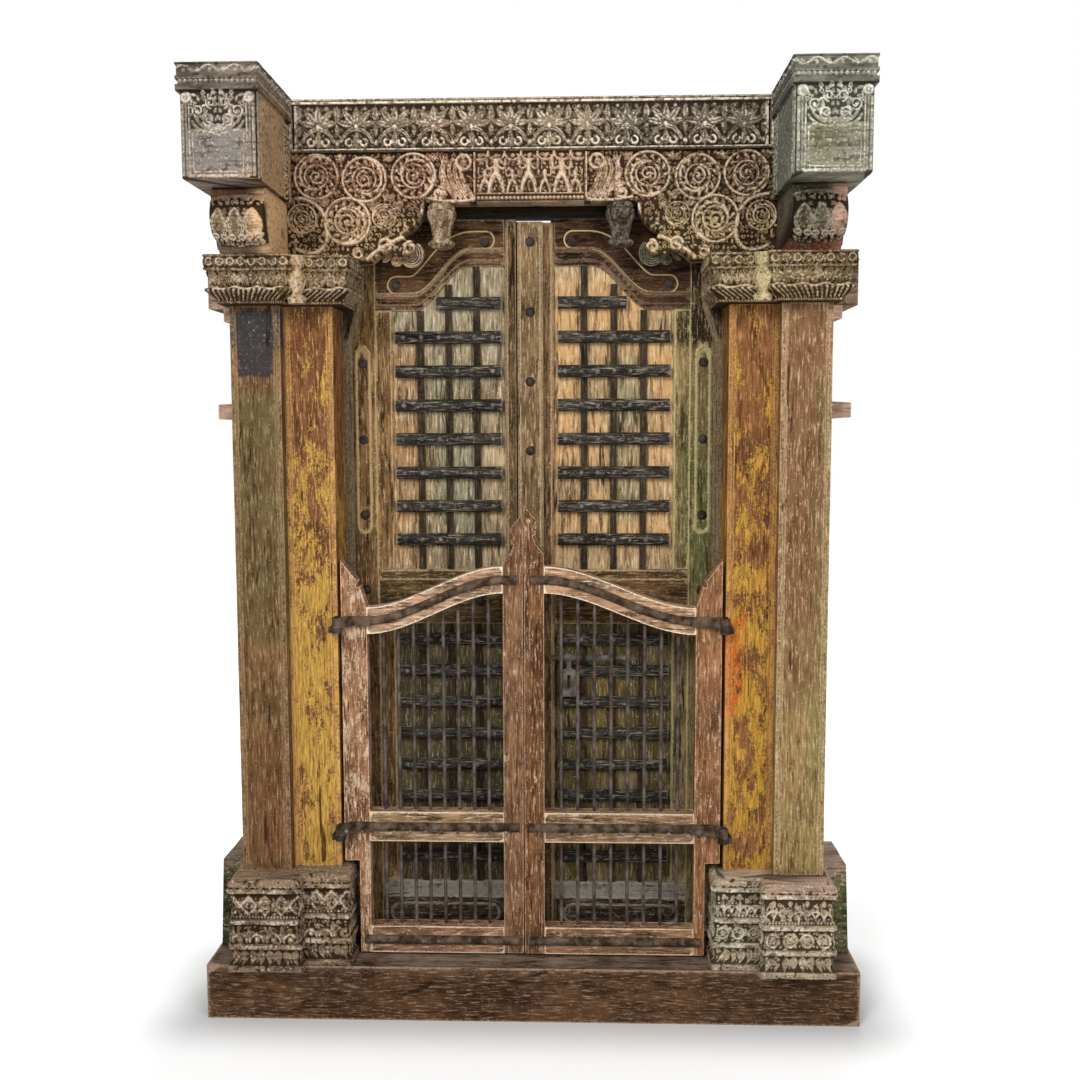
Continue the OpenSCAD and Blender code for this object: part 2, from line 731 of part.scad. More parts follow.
// Lotus-bud pendants under the tympanum
pendant_outline_shares = [[0.3, 0], [0.62, 0.04], [0.8, 0.12], [0.62, 0.2], [0.62, 0.26],
    [0.78, 0.55], [0.98, 0.72], [1, 0.82], [0.86, 0.86], [0.92, 0.92], [0.75, 1]];
pendant_petals = 10;
petal_ball_share = 0.2;
pendant_gap = 2;
module pendant(x) {
    translate([x, capital_back - pendant_r - pendant_gap, z_beam - pendant_h]) union() {
        rotate_extrude() polygon(concat([[0, 0]],
            [for (p = pendant_outline_shares) [p[0] * pendant_r, p[1] * pendant_h]],
            [[0, pendant_h]]));
        for (i = [0 : pendant_petals - 1]) rotate(i * 360 / pendant_petals)
            translate([pendant_outline_shares[2][0] * pendant_r, 0,
                pendant_outline_shares[2][1] * pendant_h]) sphere(petal_ball_share * pendant_r);
    }
}
module pendants() {
    color("#7f7a62") for (s = [-1, 1]) pendant(s * (x_bracket - pendant_r - pendant_gap));
}

// Head beam behind the tympanum, with the leaves' upper sockets
module head_beam() {
    color("#3d2c20") difference() {
        block([-x_beam, capital_back, z_soffit], [x_beam, frame_back, z_lintel]);
        sockets(z_soffit - over, z_soffit + pivot_l);
    }
}

// Architraves: stepped strips in front of the leaves' outer edges, shouldered under the capitals
architrave_steps = 3;
architrave_step_share = 0.24;
shoulder_low_share = 0.93;
shoulder_high_share = 1.03;
shoulder_points = 16;
function architrave_in(t) =
    x_open - architrave_w - (architrave_head_w - architrave_w) * smooth(t);
module architrave() {
    z0 = z_post + shoulder_low_share * post_h;
    z1 = z_post + shoulder_high_share * post_h;
    edge = concat([[architrave_in(0), sill_h]],
        [for (i = [0 : shoulder_points]) let (t = i / shoulder_points)
            [architrave_in(t), z0 + t * (z1 - z0)]],
        [[architrave_in(1), z_soffit]]);
    layer = architrave_t / architrave_steps;
    color("#3f3122") union() for (k = [0 : architrave_steps - 1]) {
        step = [k * architrave_step_share * architrave_w, 0];
        along_y(y_tongue + (architrave_steps - 1 - k) * layer, y_tongue + architrave_t)
            polygon(concat([for (p = edge) p + step], [[x_open, z_soffit], [x_open, sill_h]]));
    }
}

// Lugs that tied the frame into a wall
lug_h = 50;
lug_l = 84;
lug_front = 130;
lug_t = 40;
lug_z_share = 0.82;
lug_taper_share = 0.8;
module wall_lugs() {
    z = z_post + lug_z_share * post_h;
    color("#c09a86") for (s = [0, 1]) mirror([s, 0, 0]) along_y(lug_front, lug_front + lug_t)
        polygon([[x_outer, z - lug_h / 2], [x_outer + lug_l, z - lug_taper_share * lug_h / 2],
            [x_outer + lug_l, z + lug_taper_share * lug_h / 2], [x_outer, z + lug_h / 2]]);
}

// Leaves
z_leaf = sill_h + leaf_floor;
z_leaf_top = z_soffit - leaf_head;
y_lip = leaf_front + lip_t;
y_leaf_back = leaf_front + leaf_t;
u_flat = leaf_edge - hinge_stile_w;
u_panel = u_flat - panel_mould_w;
left_edge = leaf_joint_x + leaf_joint_gap / 2;
right_edge = leaf_joint_gap / 2 - leaf_joint_x;
left_panel = left_edge + left_meeting_w;
right_panel = right_edge + right_meeting_w;
z_mid = sill_h + mid_rail_z;
z_upper = z_mid + mid_rail_h + panel_mould_h;
z_lower = z_leaf + bottom_rail_h + foot_mould_h;
z_arch = z_leaf_top - top_rail_end_h;
z_board_top = z_leaf_top - top_rail_mid_h + rebate;
// The right leaf's meeting stile and its cover strip end lower than the rails
astragal_drop = 9;
z_astragal = z_leaf_top - astragal_drop;
tenon_l = 14;
tenon_t = 12;
tenon_shoulder = 14;
y_tenon = (y_lip + y_leaf_back - tenon_t) / 2;
mould_drop = 8;
mould_edge = 4;
arch_steps = 24;
// Lower edge of the top rail: an ogee from the outer to the inner end
function smooth(t) = t * t * (3 - 2 * t);
function along(u, u0, u1) = smooth(min(1, max(0, (u0 - u) / (u0 - u1))));
arch_fall_shares = [0.3, 0.72];
function arch_z(u, panel) = z_arch + (top_rail_end_h - top_rail_mid_h)
    * along(u, u_flat + arch_fall_shares[0] * (panel - u_flat),
        u_flat + arch_fall_shares[1] * (panel - u_flat));
// Rear face of each rail, low and high
top_rear = [z_board_top, z_leaf_top];
mid_rear = [z_mid + rebate, z_upper - rebate];
bottom_rear = [z_leaf, z_lower - rebate];
rail_rears = [top_rear, mid_rear, bottom_rear];
// Tenons of the three rails, reaching from u0 to u1
module rail_tenon(u0, u1, rear) {
    block([u0, y_tenon, rear[0] + tenon_shoulder],
        [u1, y_tenon + tenon_t, rear[1] - tenon_shoulder]);
}
module stile_mortises(u0, u1) {
    for (rear = rail_rears) rail_tenon(u0, u1, rear);
}
loop_w = 40;
loop_t = 4;
loop_out = 3;
loop_share = 0.72;
rail_loop_share = 0.88;
rail_loop_w = 56;
arch_bead_rise = 42;
arch_mould_shares = [0, 0.4, 1];
module hinge_stile() {
    u_mid = (u_flat + leaf_edge) / 2;
    color("#4f4630") difference() {
        union() {
            along_z(z_leaf, z_leaf_top) polygon([[leaf_edge, leaf_front], [u_flat, leaf_front],
                [u_flat, y_lip], [u_panel + rebate, y_lip], [u_panel + rebate, y_leaf_back],
                [leaf_edge, y_leaf_back]]);
            stile_mould(z_upper, z_arch);
            stile_mould(z_lower, z_mid);
            carve(leaf_front, loop_out) translate([u_mid, (z_upper + z_arch) / 2])
                loop_2d(loop_share * (z_arch - z_upper), loop_w, loop_t);
            rod_z(pivot_x, pivot_y, sill_h - pivot_l + clear, z_leaf + over, pivot_r);
            rod_z(pivot_x, pivot_y, z_leaf_top - over, z_soffit + pivot_l - clear, pivot_r);
        }
        stile_mortises(u_panel + rebate - over, u_panel + rebate + tenon_l);
    }
}
// Sunk moulding between a stile's flat and its panel
module stile_mould(z0, z1) {
    along_z(z0, z1) polygon([[u_flat + over, leaf_front + mould_edge],
        [u_flat, leaf_front + mould_edge], [u_panel + mould_edge, leaf_front + mould_drop],
        [u_panel, y_lip - mould_edge],
        [u_panel, y_lip], [u_flat + over, y_lip]]);
}
module meeting_stile(edge, panel, head) {
    color("#5a4d33") difference() {
        along_z(z_leaf, head) polygon([[edge, leaf_front], [panel - mould_drop, leaf_front],
            [panel, leaf_front + mould_drop], [panel, y_lip], [panel - rebate, y_lip],
            [panel - rebate, y_leaf_back], [edge, y_leaf_back]]);
        stile_mortises(panel - rebate - tenon_l, panel - rebate + over);
    }
}
module rail_rear(panel, rear) {
    block([panel - rebate, y_lip, rear[0]], [u_panel + rebate, y_leaf_back, rear[1]]);
    rail_tenon(panel - rebate - tenon_l, u_panel + rebate + tenon_l, rear);
}
module top_rail(panel) {
    edge = [for (i = [0 : arch_steps]) let (u = panel + (u_flat - panel) * i / arch_steps)
        [u, arch_z(u, panel)]];
    bead = [for (p = edge) p + [0, arch_bead_rise]];
    color("#503f28") union() {
        for (i = [0 : len(arch_mould_shares) - 1])
            along_y(y_lip - (i + 1) * lip_t / len(arch_mould_shares), y_lip)
                polygon(concat([for (p = edge) p + [0, arch_mould_shares[i] * arch_mould_h]],
                    [[u_flat, z_leaf_top], [panel, z_leaf_top]]));
        carve(leaf_front, loop_out) polygon(concat(bead,
            [for (i = [arch_steps : -1 : 0]) bead[i] + [0, loop_t]]));
        rail_rear(panel, top_rear);
    }
}
// A rail with a flat front and a moulding that falls to the panel above it
module flat_rail(panel, z0, z1, mould_h, rear) {
    color("#54452c") union() {
        along_x(panel, u_flat) polygon([[leaf_front, z0], [leaf_front, z1],
            [leaf_front + mould_edge, z1], [leaf_front + mould_drop, z1 + mould_h - mould_edge],
            [y_lip - mould_edge, z1 + mould_h], [y_lip, z1 + mould_h], [y_lip, z0]]);
        rail_rear(panel, rear);
    }
}
module mid_rail(panel) {
    flat_rail(panel, z_mid, z_mid + mid_rail_h, panel_mould_h, mid_rear);
}
module bottom_rail(panel) {
    flat_rail(panel, z_leaf, z_leaf + bottom_rail_h, foot_mould_h, bottom_rear);
    color("#54452c") carve(leaf_front, loop_out)
        translate([(panel + u_flat) / 2, z_leaf + bottom_rail_h / 2]) rotate(90)
            loop_2d(rail_loop_share * (u_flat - panel), rail_loop_w, loop_t);
}

// Panels: boards in the rebates, battens over their joints, bars across the battens
board_gap = 0.8;
panel_spans = [[z_upper - rebate, z_board_top], [z_lower - rebate, z_mid + rebate]];
function joint_u(i, panel) = panel + (u_panel - panel) * i / board_count;
module boards(panel) {
    color("#8a6d3c") for (span = panel_spans, i = [0 : board_count - 1]) {
        u0 = i == 0 ? panel - rebate : joint_u(i, panel) + board_gap / 2;
        u1 = i == board_count - 1 ? u_panel + rebate : joint_u(i + 1, panel) - board_gap / 2;
        block([u0, y_lip, span[0]], [u1, y_lip + board_t, span[1]]);
    }
}
module battens(panel) {
    color("#3a2f24") for (i = [1 : board_count - 1]) {
        u = joint_u(i, panel);
        block([u - batten_w / 2, y_lip - batten_t, z_upper],
            [u + batten_w / 2, y_lip, arch_z(u + batten_w / 2, panel) - over]);
        block([u - batten_w / 2, y_lip - batten_t, z_lower], [u + batten_w / 2, y_lip, z_mid]);
    }
}
bar_inset = 8;
bar_first_share = 0.1;
bar_last_upper_share = 0.88;
bar_last_share = 0.94;
function bar_levels(z0, z1, last_share) = [for (i = [0 : bar_count - 1])
    z0 + (z1 - z0) * (bar_first_share + (last_share - bar_first_share) * i / (bar_count - 1))];
// Farthest place at which the arch is still clear above a bar
function bar_end(z, panel) = max([for (i = [0 : arch_steps])
    let (u = panel + (u_panel - bar_inset - panel) * i / arch_steps)
    if (arch_z(u, panel) > z + bar_h / 2 + over || i == 0) u]);
module half_round_x(x0, x1, y, z, h, d) {
    along_x(x0, x1) translate([y, z]) intersection() {
        translate([h * h / d / 8 - d / 2, 0]) circle(h * h / d / 8 + d / 2);
        translate([-d, -h / 2]) square([d, h]);
    }
}
module bars(panel) {
    y = y_lip - batten_t;
    color("#2f2c29") {
        for (z = bar_levels(z_upper, z_leaf_top - top_rail_mid_h, bar_last_upper_share))
            half_round_x(panel + bar_inset, bar_end(z, panel), y, z, bar_h, bar_d);
        for (z = bar_levels(z_lower, z_mid, bar_last_share))
            half_round_x(panel + bar_inset, u_panel - bar_inset, y, z, bar_h, bar_d);
    }
}

// Iron bosses: domes on the stiles and rails
boss_pitch = 205;
boss_top = 174;
rail_boss_shares = [0.2, 0.8];
module boss(u, y, z) {
    r = (boss_r * boss_r + boss_h * boss_h) / (2 * boss_h);
    translate([u, y, z]) rotate([90, 0, 0]) intersection() {
        translate([0, 0, boss_h - r]) sphere(r);
        cylinder(h = boss_h, r = boss_r);
    }
}
module bosses(panel) {
    u = (u_flat + leaf_edge) / 2;
    color("#35302a") {
        for (z = [z_leaf_top - boss_top : -boss_pitch : z_leaf + boss_pitch / 2]) boss(u, leaf_front, z);
        for (s = rail_boss_shares) {
            boss(panel + s * (u_flat - panel), leaf_front, z_mid + mid_rail_h / 2);
            boss(panel + s * (u_flat - panel), leaf_front, z_leaf + bottom_rail_h / 2);
        }
        boss(panel + boss_pitch / 4, leaf_front, z_leaf_top - top_rail_mid_h / 2);
    }
}

// The right leaf's bosses go on along its cover strip
astragal_boss_top = 53;
astragal_boss_pitch = 184;
astragal_bosses = 4;
module right_bosses() {
    u = right_edge + astragal_w / 2;
    bosses(right_panel);
    color("#35302a") for (i = [0 : astragal_bosses - 1])
        boss(u, leaf_front - astragal_t, z_astragal - astragal_boss_top - i * astragal_boss_pitch);
}

// Cover strip on the right leaf's meeting edge, lowered at its head
astragal_edge = 8;
module astragal() {
    u0 = right_edge;
    u1 = right_edge + astragal_w;
    y = leaf_front - astragal_t;
    color("#57492f") along_z(z_leaf, z_astragal) polygon([[u0, leaf_front],
        [u0, y + astragal_edge], [u0 + astragal_edge, y], [u1 - astragal_edge, y],
        [u1, y + astragal_edge], [u1, leaf_front]]);
}

// Bolt, its staples on the right leaf, its keeper on the left leaf, and the hasp
// The bolt lies between the two topmost bars of the lower panel
bolt_bars = bar_levels(z_lower, z_mid, bar_last_share);
bolt_level = (bolt_bars[bar_count - 1] + bolt_bars[bar_count - 2]) / 2;
bolt_gap = 5;
y_bolt = leaf_front - astragal_t - bolt_gap - bolt_r;
staple_wall = 5;
staple_w = 12;
staple_shank_r = 5;
keeper_r = 10;
// Ring round the bolt's line with a shank back to a face
module staple(u, bore, y_face) {
    r = bore + staple_wall;
    difference() {
        union() {
            rod_x(u - staple_w / 2, u + staple_w / 2, y_bolt, bolt_level, r);
            translate([u, y_bolt, bolt_level]) rotate([-90, 0, 0])
                cylinder(h = y_face - y_bolt, r = staple_shank_r);
        }
        rod_x(u - staple_w, u + staple_w, y_bolt, bolt_level, bore);
    }
}
module bolt_staples() {
    color("#3b3734") for (i = [1, 2])
        staple(joint_u(i, right_panel), bolt_r + clear, y_lip - batten_t);
}
module bolt_keeper() {
    color("#3b3734") mirror([1, 0, 0]) staple(left_edge + left_meeting_w / 2, keeper_r, leaf_front);
}
hasp_eye_w = 12;
hasp_eye_x = 48;
hasp_eye_wall = 4;
hasp_t = 5;
hasp_neck_w = 12;
hasp_slot_w = 9;
collar_w = 5;
collar_wall = 3;
hasp_plate_share = 0.28;
hasp_slot_share = 0.36;
hasp_slot_z_share = 0.62;
module bolt() {
    u = bolt_x + hasp_eye_x;
    color("#4a4541") union() {
        rod_x(bolt_x, bolt_x + bolt_l, y_bolt, bolt_level, bolt_r);
        for (x = [u - hasp_eye_w / 2 - clear - collar_w, u + hasp_eye_w / 2 + clear])
            rod_x(x, x + collar_w, y_bolt, bolt_level, bolt_r + collar_wall);
    }
}
module hasp() {
    u = bolt_x + hasp_eye_x;
    shoulder = hasp_plate_share * hasp_l;
    color("#45403d") difference() {
        union() {
            rod_x(u - hasp_eye_w / 2, u + hasp_eye_w / 2, y_bolt, bolt_level,
                bolt_r + clear + hasp_eye_wall);
            along_y(y_bolt - hasp_t / 2, y_bolt + hasp_t / 2) translate([u, bolt_level]) {
                polygon([[-hasp_neck_w / 2, 0], [-hasp_neck_w / 2, -shoulder],
                    [-hasp_w / 2, -shoulder - hasp_neck_w / 2], [-hasp_w / 2, -hasp_l],
                    [hasp_w / 2, -hasp_l], [hasp_w / 2, -shoulder - hasp_neck_w / 2],
                    [hasp_neck_w / 2, -shoulder], [hasp_neck_w / 2, 0]]);
            }
        }
        rod_x(u - hasp_eye_w, u + hasp_eye_w, y_bolt, bolt_level, bolt_r + clear);
        along_y(y_bolt - hasp_t, y_bolt + hasp_t)
            translate([u, bolt_level - hasp_slot_z_share * hasp_l])
                slot_2d(hasp_slot_share * hasp_l, hasp_slot_w);
    }
}

// Gates
z_gate = sill_h + gate_floor;
gate_edge = x_open - gate_gap;
gate_in = gate_edge - gate_stile_w;
left_gate_edge = gate_joint_x + gate_joint_gap / 2;
right_gate_edge = gate_joint_gap / 2 - gate_joint_x;
gate_steps = 20;
gate_scribe = 13;
gate_scribe_rise = 15;
gate_tenon_l = 24;
gate_tenon_t = 14;
gate_shoulder = 12;
bar_socket = 14;
y_gate_tenon = (gate_t - gate_tenon_t) / 2;
// Lower edge of a gate's top rail; the upper edge lies a rail's height above
function gate_rise_z(u, inner) =
    z_gate + gate_top_z + gate_rise * along(u, gate_in, inner);
// Low and high edge of each tenon
gate_tenons = [
    [z_gate + gate_shoulder, z_gate + gate_bottom_h - gate_shoulder],
    [z_gate + gate_mid_z + gate_shoulder, z_gate + gate_mid_z + gate_mid_h - gate_shoulder]];
function top_tenon(z) = [z + gate_shoulder, z + gate_top_h - gate_shoulder];
module gate_tenon(u0, u1, span) {
    block([u0, y_gate_tenon, span[0]], [u1, y_gate_tenon + gate_tenon_t, span[1]]);
}
// Outer stile, scribed round the base and rising to a carved ear
ear_shares = [[0.36, 0.55], [0.42, 0.42], [0.26, 0.44], [0.12, 0.2], [0, 0]];
module gate_outer_stile() {
    z_scribe = z_post + gate_scribe_rise;
    u_scribe = x_base_in - gate_scribe;
    z_ear = z_gate + gate_ear_z;
    ear_low = z_gate + gate_top_z + gate_top_h;
    ear = [for (p = ear_shares) [gate_in + p[0] * gate_stile_w, ear_low + p[1] * (z_ear - ear_low)]];
    color("#8a5f4a") difference() {
        along_y(0, gate_t) polygon(concat([[gate_in, z_gate], [u_scribe, z_gate],
            [u_scribe, z_scribe], [gate_edge, z_scribe], [gate_edge, z_ear]], ear));
        for (span = concat(gate_tenons, [top_tenon(z_gate + gate_top_z)]))
            gate_tenon(gate_in - over, gate_in + gate_tenon_l, span);
    }
}
// Meeting stile with a pointed finial; its edge is bevelled to the back for the swing
finial_shares = [[0.66, 0.28], [0.44, 0.43], [0.6, 0.46], [0.6, 0.52], [0.46, 0.55],
    [0.62, 0.7], [1, 0.86]];
finial_h = 150;
module gate_meeting_stile(edge, finial_z) {
    inner = edge + gate_meeting_w;
    z_tip = z_gate + finial_z;
    tip = [for (p = finial_shares) [edge + p[0] * gate_meeting_w, z_tip - p[1] * finial_h]];
    color("#7d5440") difference() {
        along_y(0, gate_t) polygon(concat([[inner, z_gate], [edge, z_gate], [edge, z_tip]], tip));
        along_z(z_gate - over, z_tip + over) polygon([[edge - over, -over], [edge, 0],
            [edge + gate_bevel, gate_t], [edge + gate_bevel, gate_t + over],
            [edge - over, gate_t + over]]);
        for (span = concat(gate_tenons, [top_tenon(gate_rise_z(inner, inner))]))
            gate_tenon(inner - gate_tenon_l, inner + over, span);
    }
}
// Places of the bars across a gate
function gate_bar_u(inner) = [for (i = [1 : gate_bar_count])
    inner + (gate_in - inner) * i / (gate_bar_count + 1)];
module gate_bar_set(inner, r) {
    for (u = gate_bar_u(inner)) rod_z(u, gate_t / 2, z_gate + gate_bottom_h - bar_socket,
        gate_rise_z(u, inner) + bar_socket, r);
}
module gate_top_rail(edge) {
    inner = edge + gate_meeting_w;
    lower = [for (i = [0 : gate_steps]) let (u = inner + (gate_in - inner) * i / gate_steps)
        [u, gate_rise_z(u, inner)]];
    upper = [for (i = [gate_steps : -1 : 0]) lower[i] + [0, gate_top_h]];
    color("#86604b") difference() {
        union() {
            along_y(0, gate_t) polygon(concat(lower, upper));
            gate_tenon(gate_in - over, gate_in + gate_tenon_l, top_tenon(z_gate + gate_top_z));
            gate_tenon(inner - gate_tenon_l, inner + over, top_tenon(gate_rise_z(inner, inner)));
        }
        gate_bar_set(inner, gate_bar_r + clear);
    }
}
module gate_flat_rail(edge, z0, h, span) {
    inner = edge + gate_meeting_w;
    color("#8f6a52") difference() {
        union() {
            block([inner, 0, z0], [gate_in, gate_t, z0 + h]);
            gate_tenon(inner - gate_tenon_l, gate_in + gate_tenon_l, span);
        }
        gate_bar_set(inner, gate_bar_r + clear);
    }
}
module gate_mid_rail(edge) {
    gate_flat_rail(edge, z_gate + gate_mid_z, gate_mid_h, gate_tenons[1]);
}
module gate_bottom_rail(edge) {
    gate_flat_rail(edge, z_gate, gate_bottom_h, gate_tenons[0]);
}
module gate_bars(edge) {
    color("#4b4644") gate_bar_set(edge + gate_meeting_w, gate_bar_r);
}

// Straps: half-round iron on the rails; the upper two end in eyes on the pintles
pin_x = x_open - pin_side;
eye_r = pin_r + clear + eye_wall;
strap_top = z_gate + gate_top_z + gate_top_h / 2;
strap_mid = z_gate + gate_mid_z + gate_mid_h / 2;
strap_bottom = z_gate + gate_bottom_h / 2;
strap_levels = [strap_top, strap_mid];
strap_inset = 12;
strap_sides = 6;
strap_crank_share = 0.45;
// Flat end of a strap, cranked forward into its eye
module strap_eye(z) {
    u_crank = gate_edge - strap_crank_share * gate_stile_w;
    u_start = gate_in - strap_t;
    flat_t = strap_t + over;
    difference() {
        along_z(z - strap_w / 2 - over, z + strap_w / 2 + over) {
            polygon([[u_start, 0], [u_crank + strap_t, 0], [pin_x, -pin_front + eye_r],
                [pin_x, -pin_front], [pin_x - eye_r, -pin_front], [u_crank, -flat_t],
                [u_start, -flat_t]]);
            translate([pin_x, -pin_front]) circle(eye_r);
        }
        rod_z(pin_x, -pin_front, z - strap_w, z + strap_w, pin_r + clear);
    }
}
// Half-round section swept along the rail's curve
module curved_strap(inner, u0) {
    rings = [for (i = [0 : gate_steps]) let (u = u0 + (gate_in - u0) * i / gate_steps)
        [u, gate_rise_z(u, inner) + gate_top_h / 2]];
    points = [for (p = rings, k = [0 : strap_sides])
        let (a = 180 * k / strap_sides)
        [p[0], -strap_t * sin(a), p[1] + strap_w / 2 * cos(a)]];
    m = strap_sides + 1;
    walls = [for (i = [0 : gate_steps - 1], k = [0 : strap_sides])
        let (a = i * m + k, b = i * m + (k + 1) % m) [a, a + m, b + m, b]];
    polyhedron(points, concat(walls, [[for (k = [0 : strap_sides]) k]],
        [[for (k = [strap_sides : -1 : 0]) gate_steps * m + k]]));
}
module gate_straps(edge) {
    inner = edge + gate_meeting_w;
    u0 = edge + gate_meeting_w / 3;
    color("#3f3a3a") {
        union() {
            curved_strap(inner, u0);
            strap_eye(strap_top);
        }
        union() {
            half_round_x(edge + strap_inset, gate_in + over, 0, strap_mid, strap_w, strap_t);
            strap_eye(strap_mid);
        }
        half_round_x(edge + strap_inset, x_base_in - gate_scribe - strap_inset, 0, strap_bottom,
            strap_w, strap_t);
    }
}

// Pintles: a pin on a boss whose shank is driven into the post
boss_drop = 14;
shank_w = 14;
shank_l = 70;
shank_side = 4;
pin_top = 5;
module pintle_shank(z) {
    top = z - strap_w / 2 - over - clear;
    block([x_open + shank_side, -pin_front, top - boss_drop],
        [x_open + shank_side + shank_w, shank_l, top]);
}
module pintle(z) {
    top = z - strap_w / 2 - over - clear;
    union() {
        rod_z(pin_x, -pin_front, top - boss_drop, top, eye_r + clear);
        rod_z(pin_x, -pin_front, top - over, z + strap_w / 2 + pin_top, pin_r);
        pintle_shank(z);
    }
}
module gate_pintles() {
    color("#45403d") for (s = [0, 1], z = strap_levels) mirror([s, 0, 0]) pintle(z);
}

module left() {
    mirror([1, 0, 0]) children();
}

sill();
left() base();  // left_base
base();  // right_base
left() outer_post();  // left_outer_post
outer_post();  // right_outer_post
left() inner_post();  // left_inner_post
inner_post();  // right_inner_post
left() capital();  // left_capital
capital();  // right_capital
left() corbel();  // left_corbel
corbel();  // right_corbel
left() beam_end();  // left_beam_end
beam_end();  // right_beam_end
lintel_beam();
left() spandrel();  // left_spandrel
spandrel();  // right_spandrel
figure_frieze();
pendants();
head_beam();
left() architrave();  // left_architrave
architrave();  // right_architrave
gate_pintles();
wall_lugs();
left() hinge_stile();  // left_hinge_stile
left() meeting_stile(left_edge, left_panel, z_leaf_top);  // left_meeting_stile
left() top_rail(left_panel);  // left_top_rail
left() mid_rail(left_panel);  // left_mid_rail
left() bottom_rail(left_panel);  // left_bottom_rail
left() boards(left_panel);  // left_boards
left() battens(left_panel);  // left_battens
left() bars(left_panel);  // left_bars
left() bosses(left_panel);  // left_bosses
bolt_keeper();
hinge_stile();  // right_hinge_stile
meeting_stile(right_edge, right_panel, z_astragal);  // right_meeting_stile
top_rail(right_panel);  // right_top_rail
mid_rail(right_panel);  // right_mid_rail
bottom_rail(right_panel);  // right_bottom_rail
boards(right_panel);  // right_boards
battens(right_panel);  // right_battens
bars(right_panel);  // right_bars
right_bosses();
astragal();
bolt_staples();
bolt();
hasp();
left() gate_outer_stile();  // left_gate_outer_stile
left() gate_meeting_stile(left_gate_edge, left_finial_z);  // left_gate_meeting_stile
left() gate_top_rail(left_gate_edge);  // left_gate_top_rail
left() gate_mid_rail(left_gate_edge);  // left_gate_mid_rail
left() gate_bottom_rail(left_gate_edge);  // left_gate_bottom_rail
left() gate_bars(left_gate_edge);  // left_gate_bars
left() gate_straps(left_gate_edge);  // left_gate_straps
gate_outer_stile();  // right_gate_outer_stile
gate_meeting_stile(right_gate_edge, right_finial_z);  // right_gate_meeting_stile
gate_top_rail(right_gate_edge);  // right_gate_top_rail
gate_mid_rail(right_gate_edge);  // right_gate_mid_rail
gate_bottom_rail(right_gate_edge);  // right_gate_bottom_rail
gate_bars(right_gate_edge);  // right_gate_bars
gate_straps(right_gate_edge);  // right_gate_straps
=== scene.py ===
"""Looks of the carved double doorway: carved relief, aged timber, worn paint and forged iron.

Lengths are in millimetres until a mesh is made. Each carved face is a dense grid raised by a
height map of leaves, rings, strokes and beads; plain timbers are bevelled copies of their nodes.
"""

import json
import math

import bmesh
import bpy
import numpy as np
from mathutils import Matrix, Vector, geometry


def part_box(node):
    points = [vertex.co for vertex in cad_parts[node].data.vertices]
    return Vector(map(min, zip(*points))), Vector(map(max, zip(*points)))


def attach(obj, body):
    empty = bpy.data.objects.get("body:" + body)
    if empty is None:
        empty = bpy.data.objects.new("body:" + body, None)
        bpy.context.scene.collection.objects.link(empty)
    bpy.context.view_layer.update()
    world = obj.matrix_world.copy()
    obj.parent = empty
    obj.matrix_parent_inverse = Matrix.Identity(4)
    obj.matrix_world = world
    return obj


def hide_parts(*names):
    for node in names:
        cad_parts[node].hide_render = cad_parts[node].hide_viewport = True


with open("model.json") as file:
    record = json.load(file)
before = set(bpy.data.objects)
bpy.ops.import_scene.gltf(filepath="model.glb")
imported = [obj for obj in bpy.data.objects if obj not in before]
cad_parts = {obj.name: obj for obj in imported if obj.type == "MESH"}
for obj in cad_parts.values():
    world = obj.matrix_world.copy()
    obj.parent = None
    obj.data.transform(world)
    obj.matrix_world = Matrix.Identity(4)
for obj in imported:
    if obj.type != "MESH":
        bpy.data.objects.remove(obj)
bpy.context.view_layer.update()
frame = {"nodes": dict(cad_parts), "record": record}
BODIES = frame["record"]["behaviour"]["bodies"]
BODY_OF = {node: body for body, nodes in BODIES.items() for node in nodes}
MM = 0.001
TAU = 2 * math.pi
SIDES = {"left": -1, "right": 1}

# Places across and in depth that several carved blocks share
X_OPEN, X_MID, X_SPLIT, X_BEAM, X_OUTER = 507, 592, 634, 622, 763
Y_BLOCK, Y_TONGUE = 43, 130


def box_mm(node):
    """Lowest and highest corner of a node, in millimetres."""
    low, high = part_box(node)
    return np.array(low) / MM, np.array(high) / MM


# ---- Height maps -------------------------------------------------------------------------------


def lattice(cell, seed):
    """A repeatable number from 0 to 1 for each whole-number place."""
    n = cell[:, 0] * 374761393 + cell[:, 1] * 668265263 + cell[:, 2] * 1440662683 + seed * 974634777
    n = (n ^ (n >> 13)) * 1274126177 & 0x7FFFFFFF
    return ((n ^ (n >> 16)) & 0xFFFF) / 65535.0


def value_noise(points, size, seed=0):
    """Smooth noise from 0 to 1 with features of about the given size."""
    q = points / size
    cell = np.floor(q).astype(np.int64)
    f = q - cell
    f = f * f * (3 - 2 * f)
    total = np.zeros(len(points))
    for corner in np.ndindex(2, 2, 2):
        c = np.array(corner)
        weight = np.prod(np.where(c, f, 1 - f), axis=1)
        total += weight * lattice(cell + c, seed)
    return total


def arc(centre, radius, start, end, count=24):
    """Points on an arc; the angles are in degrees, and the radius may be a pair that grows."""
    a = np.radians(np.linspace(start, end, count))
    r = np.linspace(*radius, count) if isinstance(radius, tuple) else radius
    return np.stack([centre[0] + r * np.cos(a), centre[1] + r * np.sin(a)], 1)


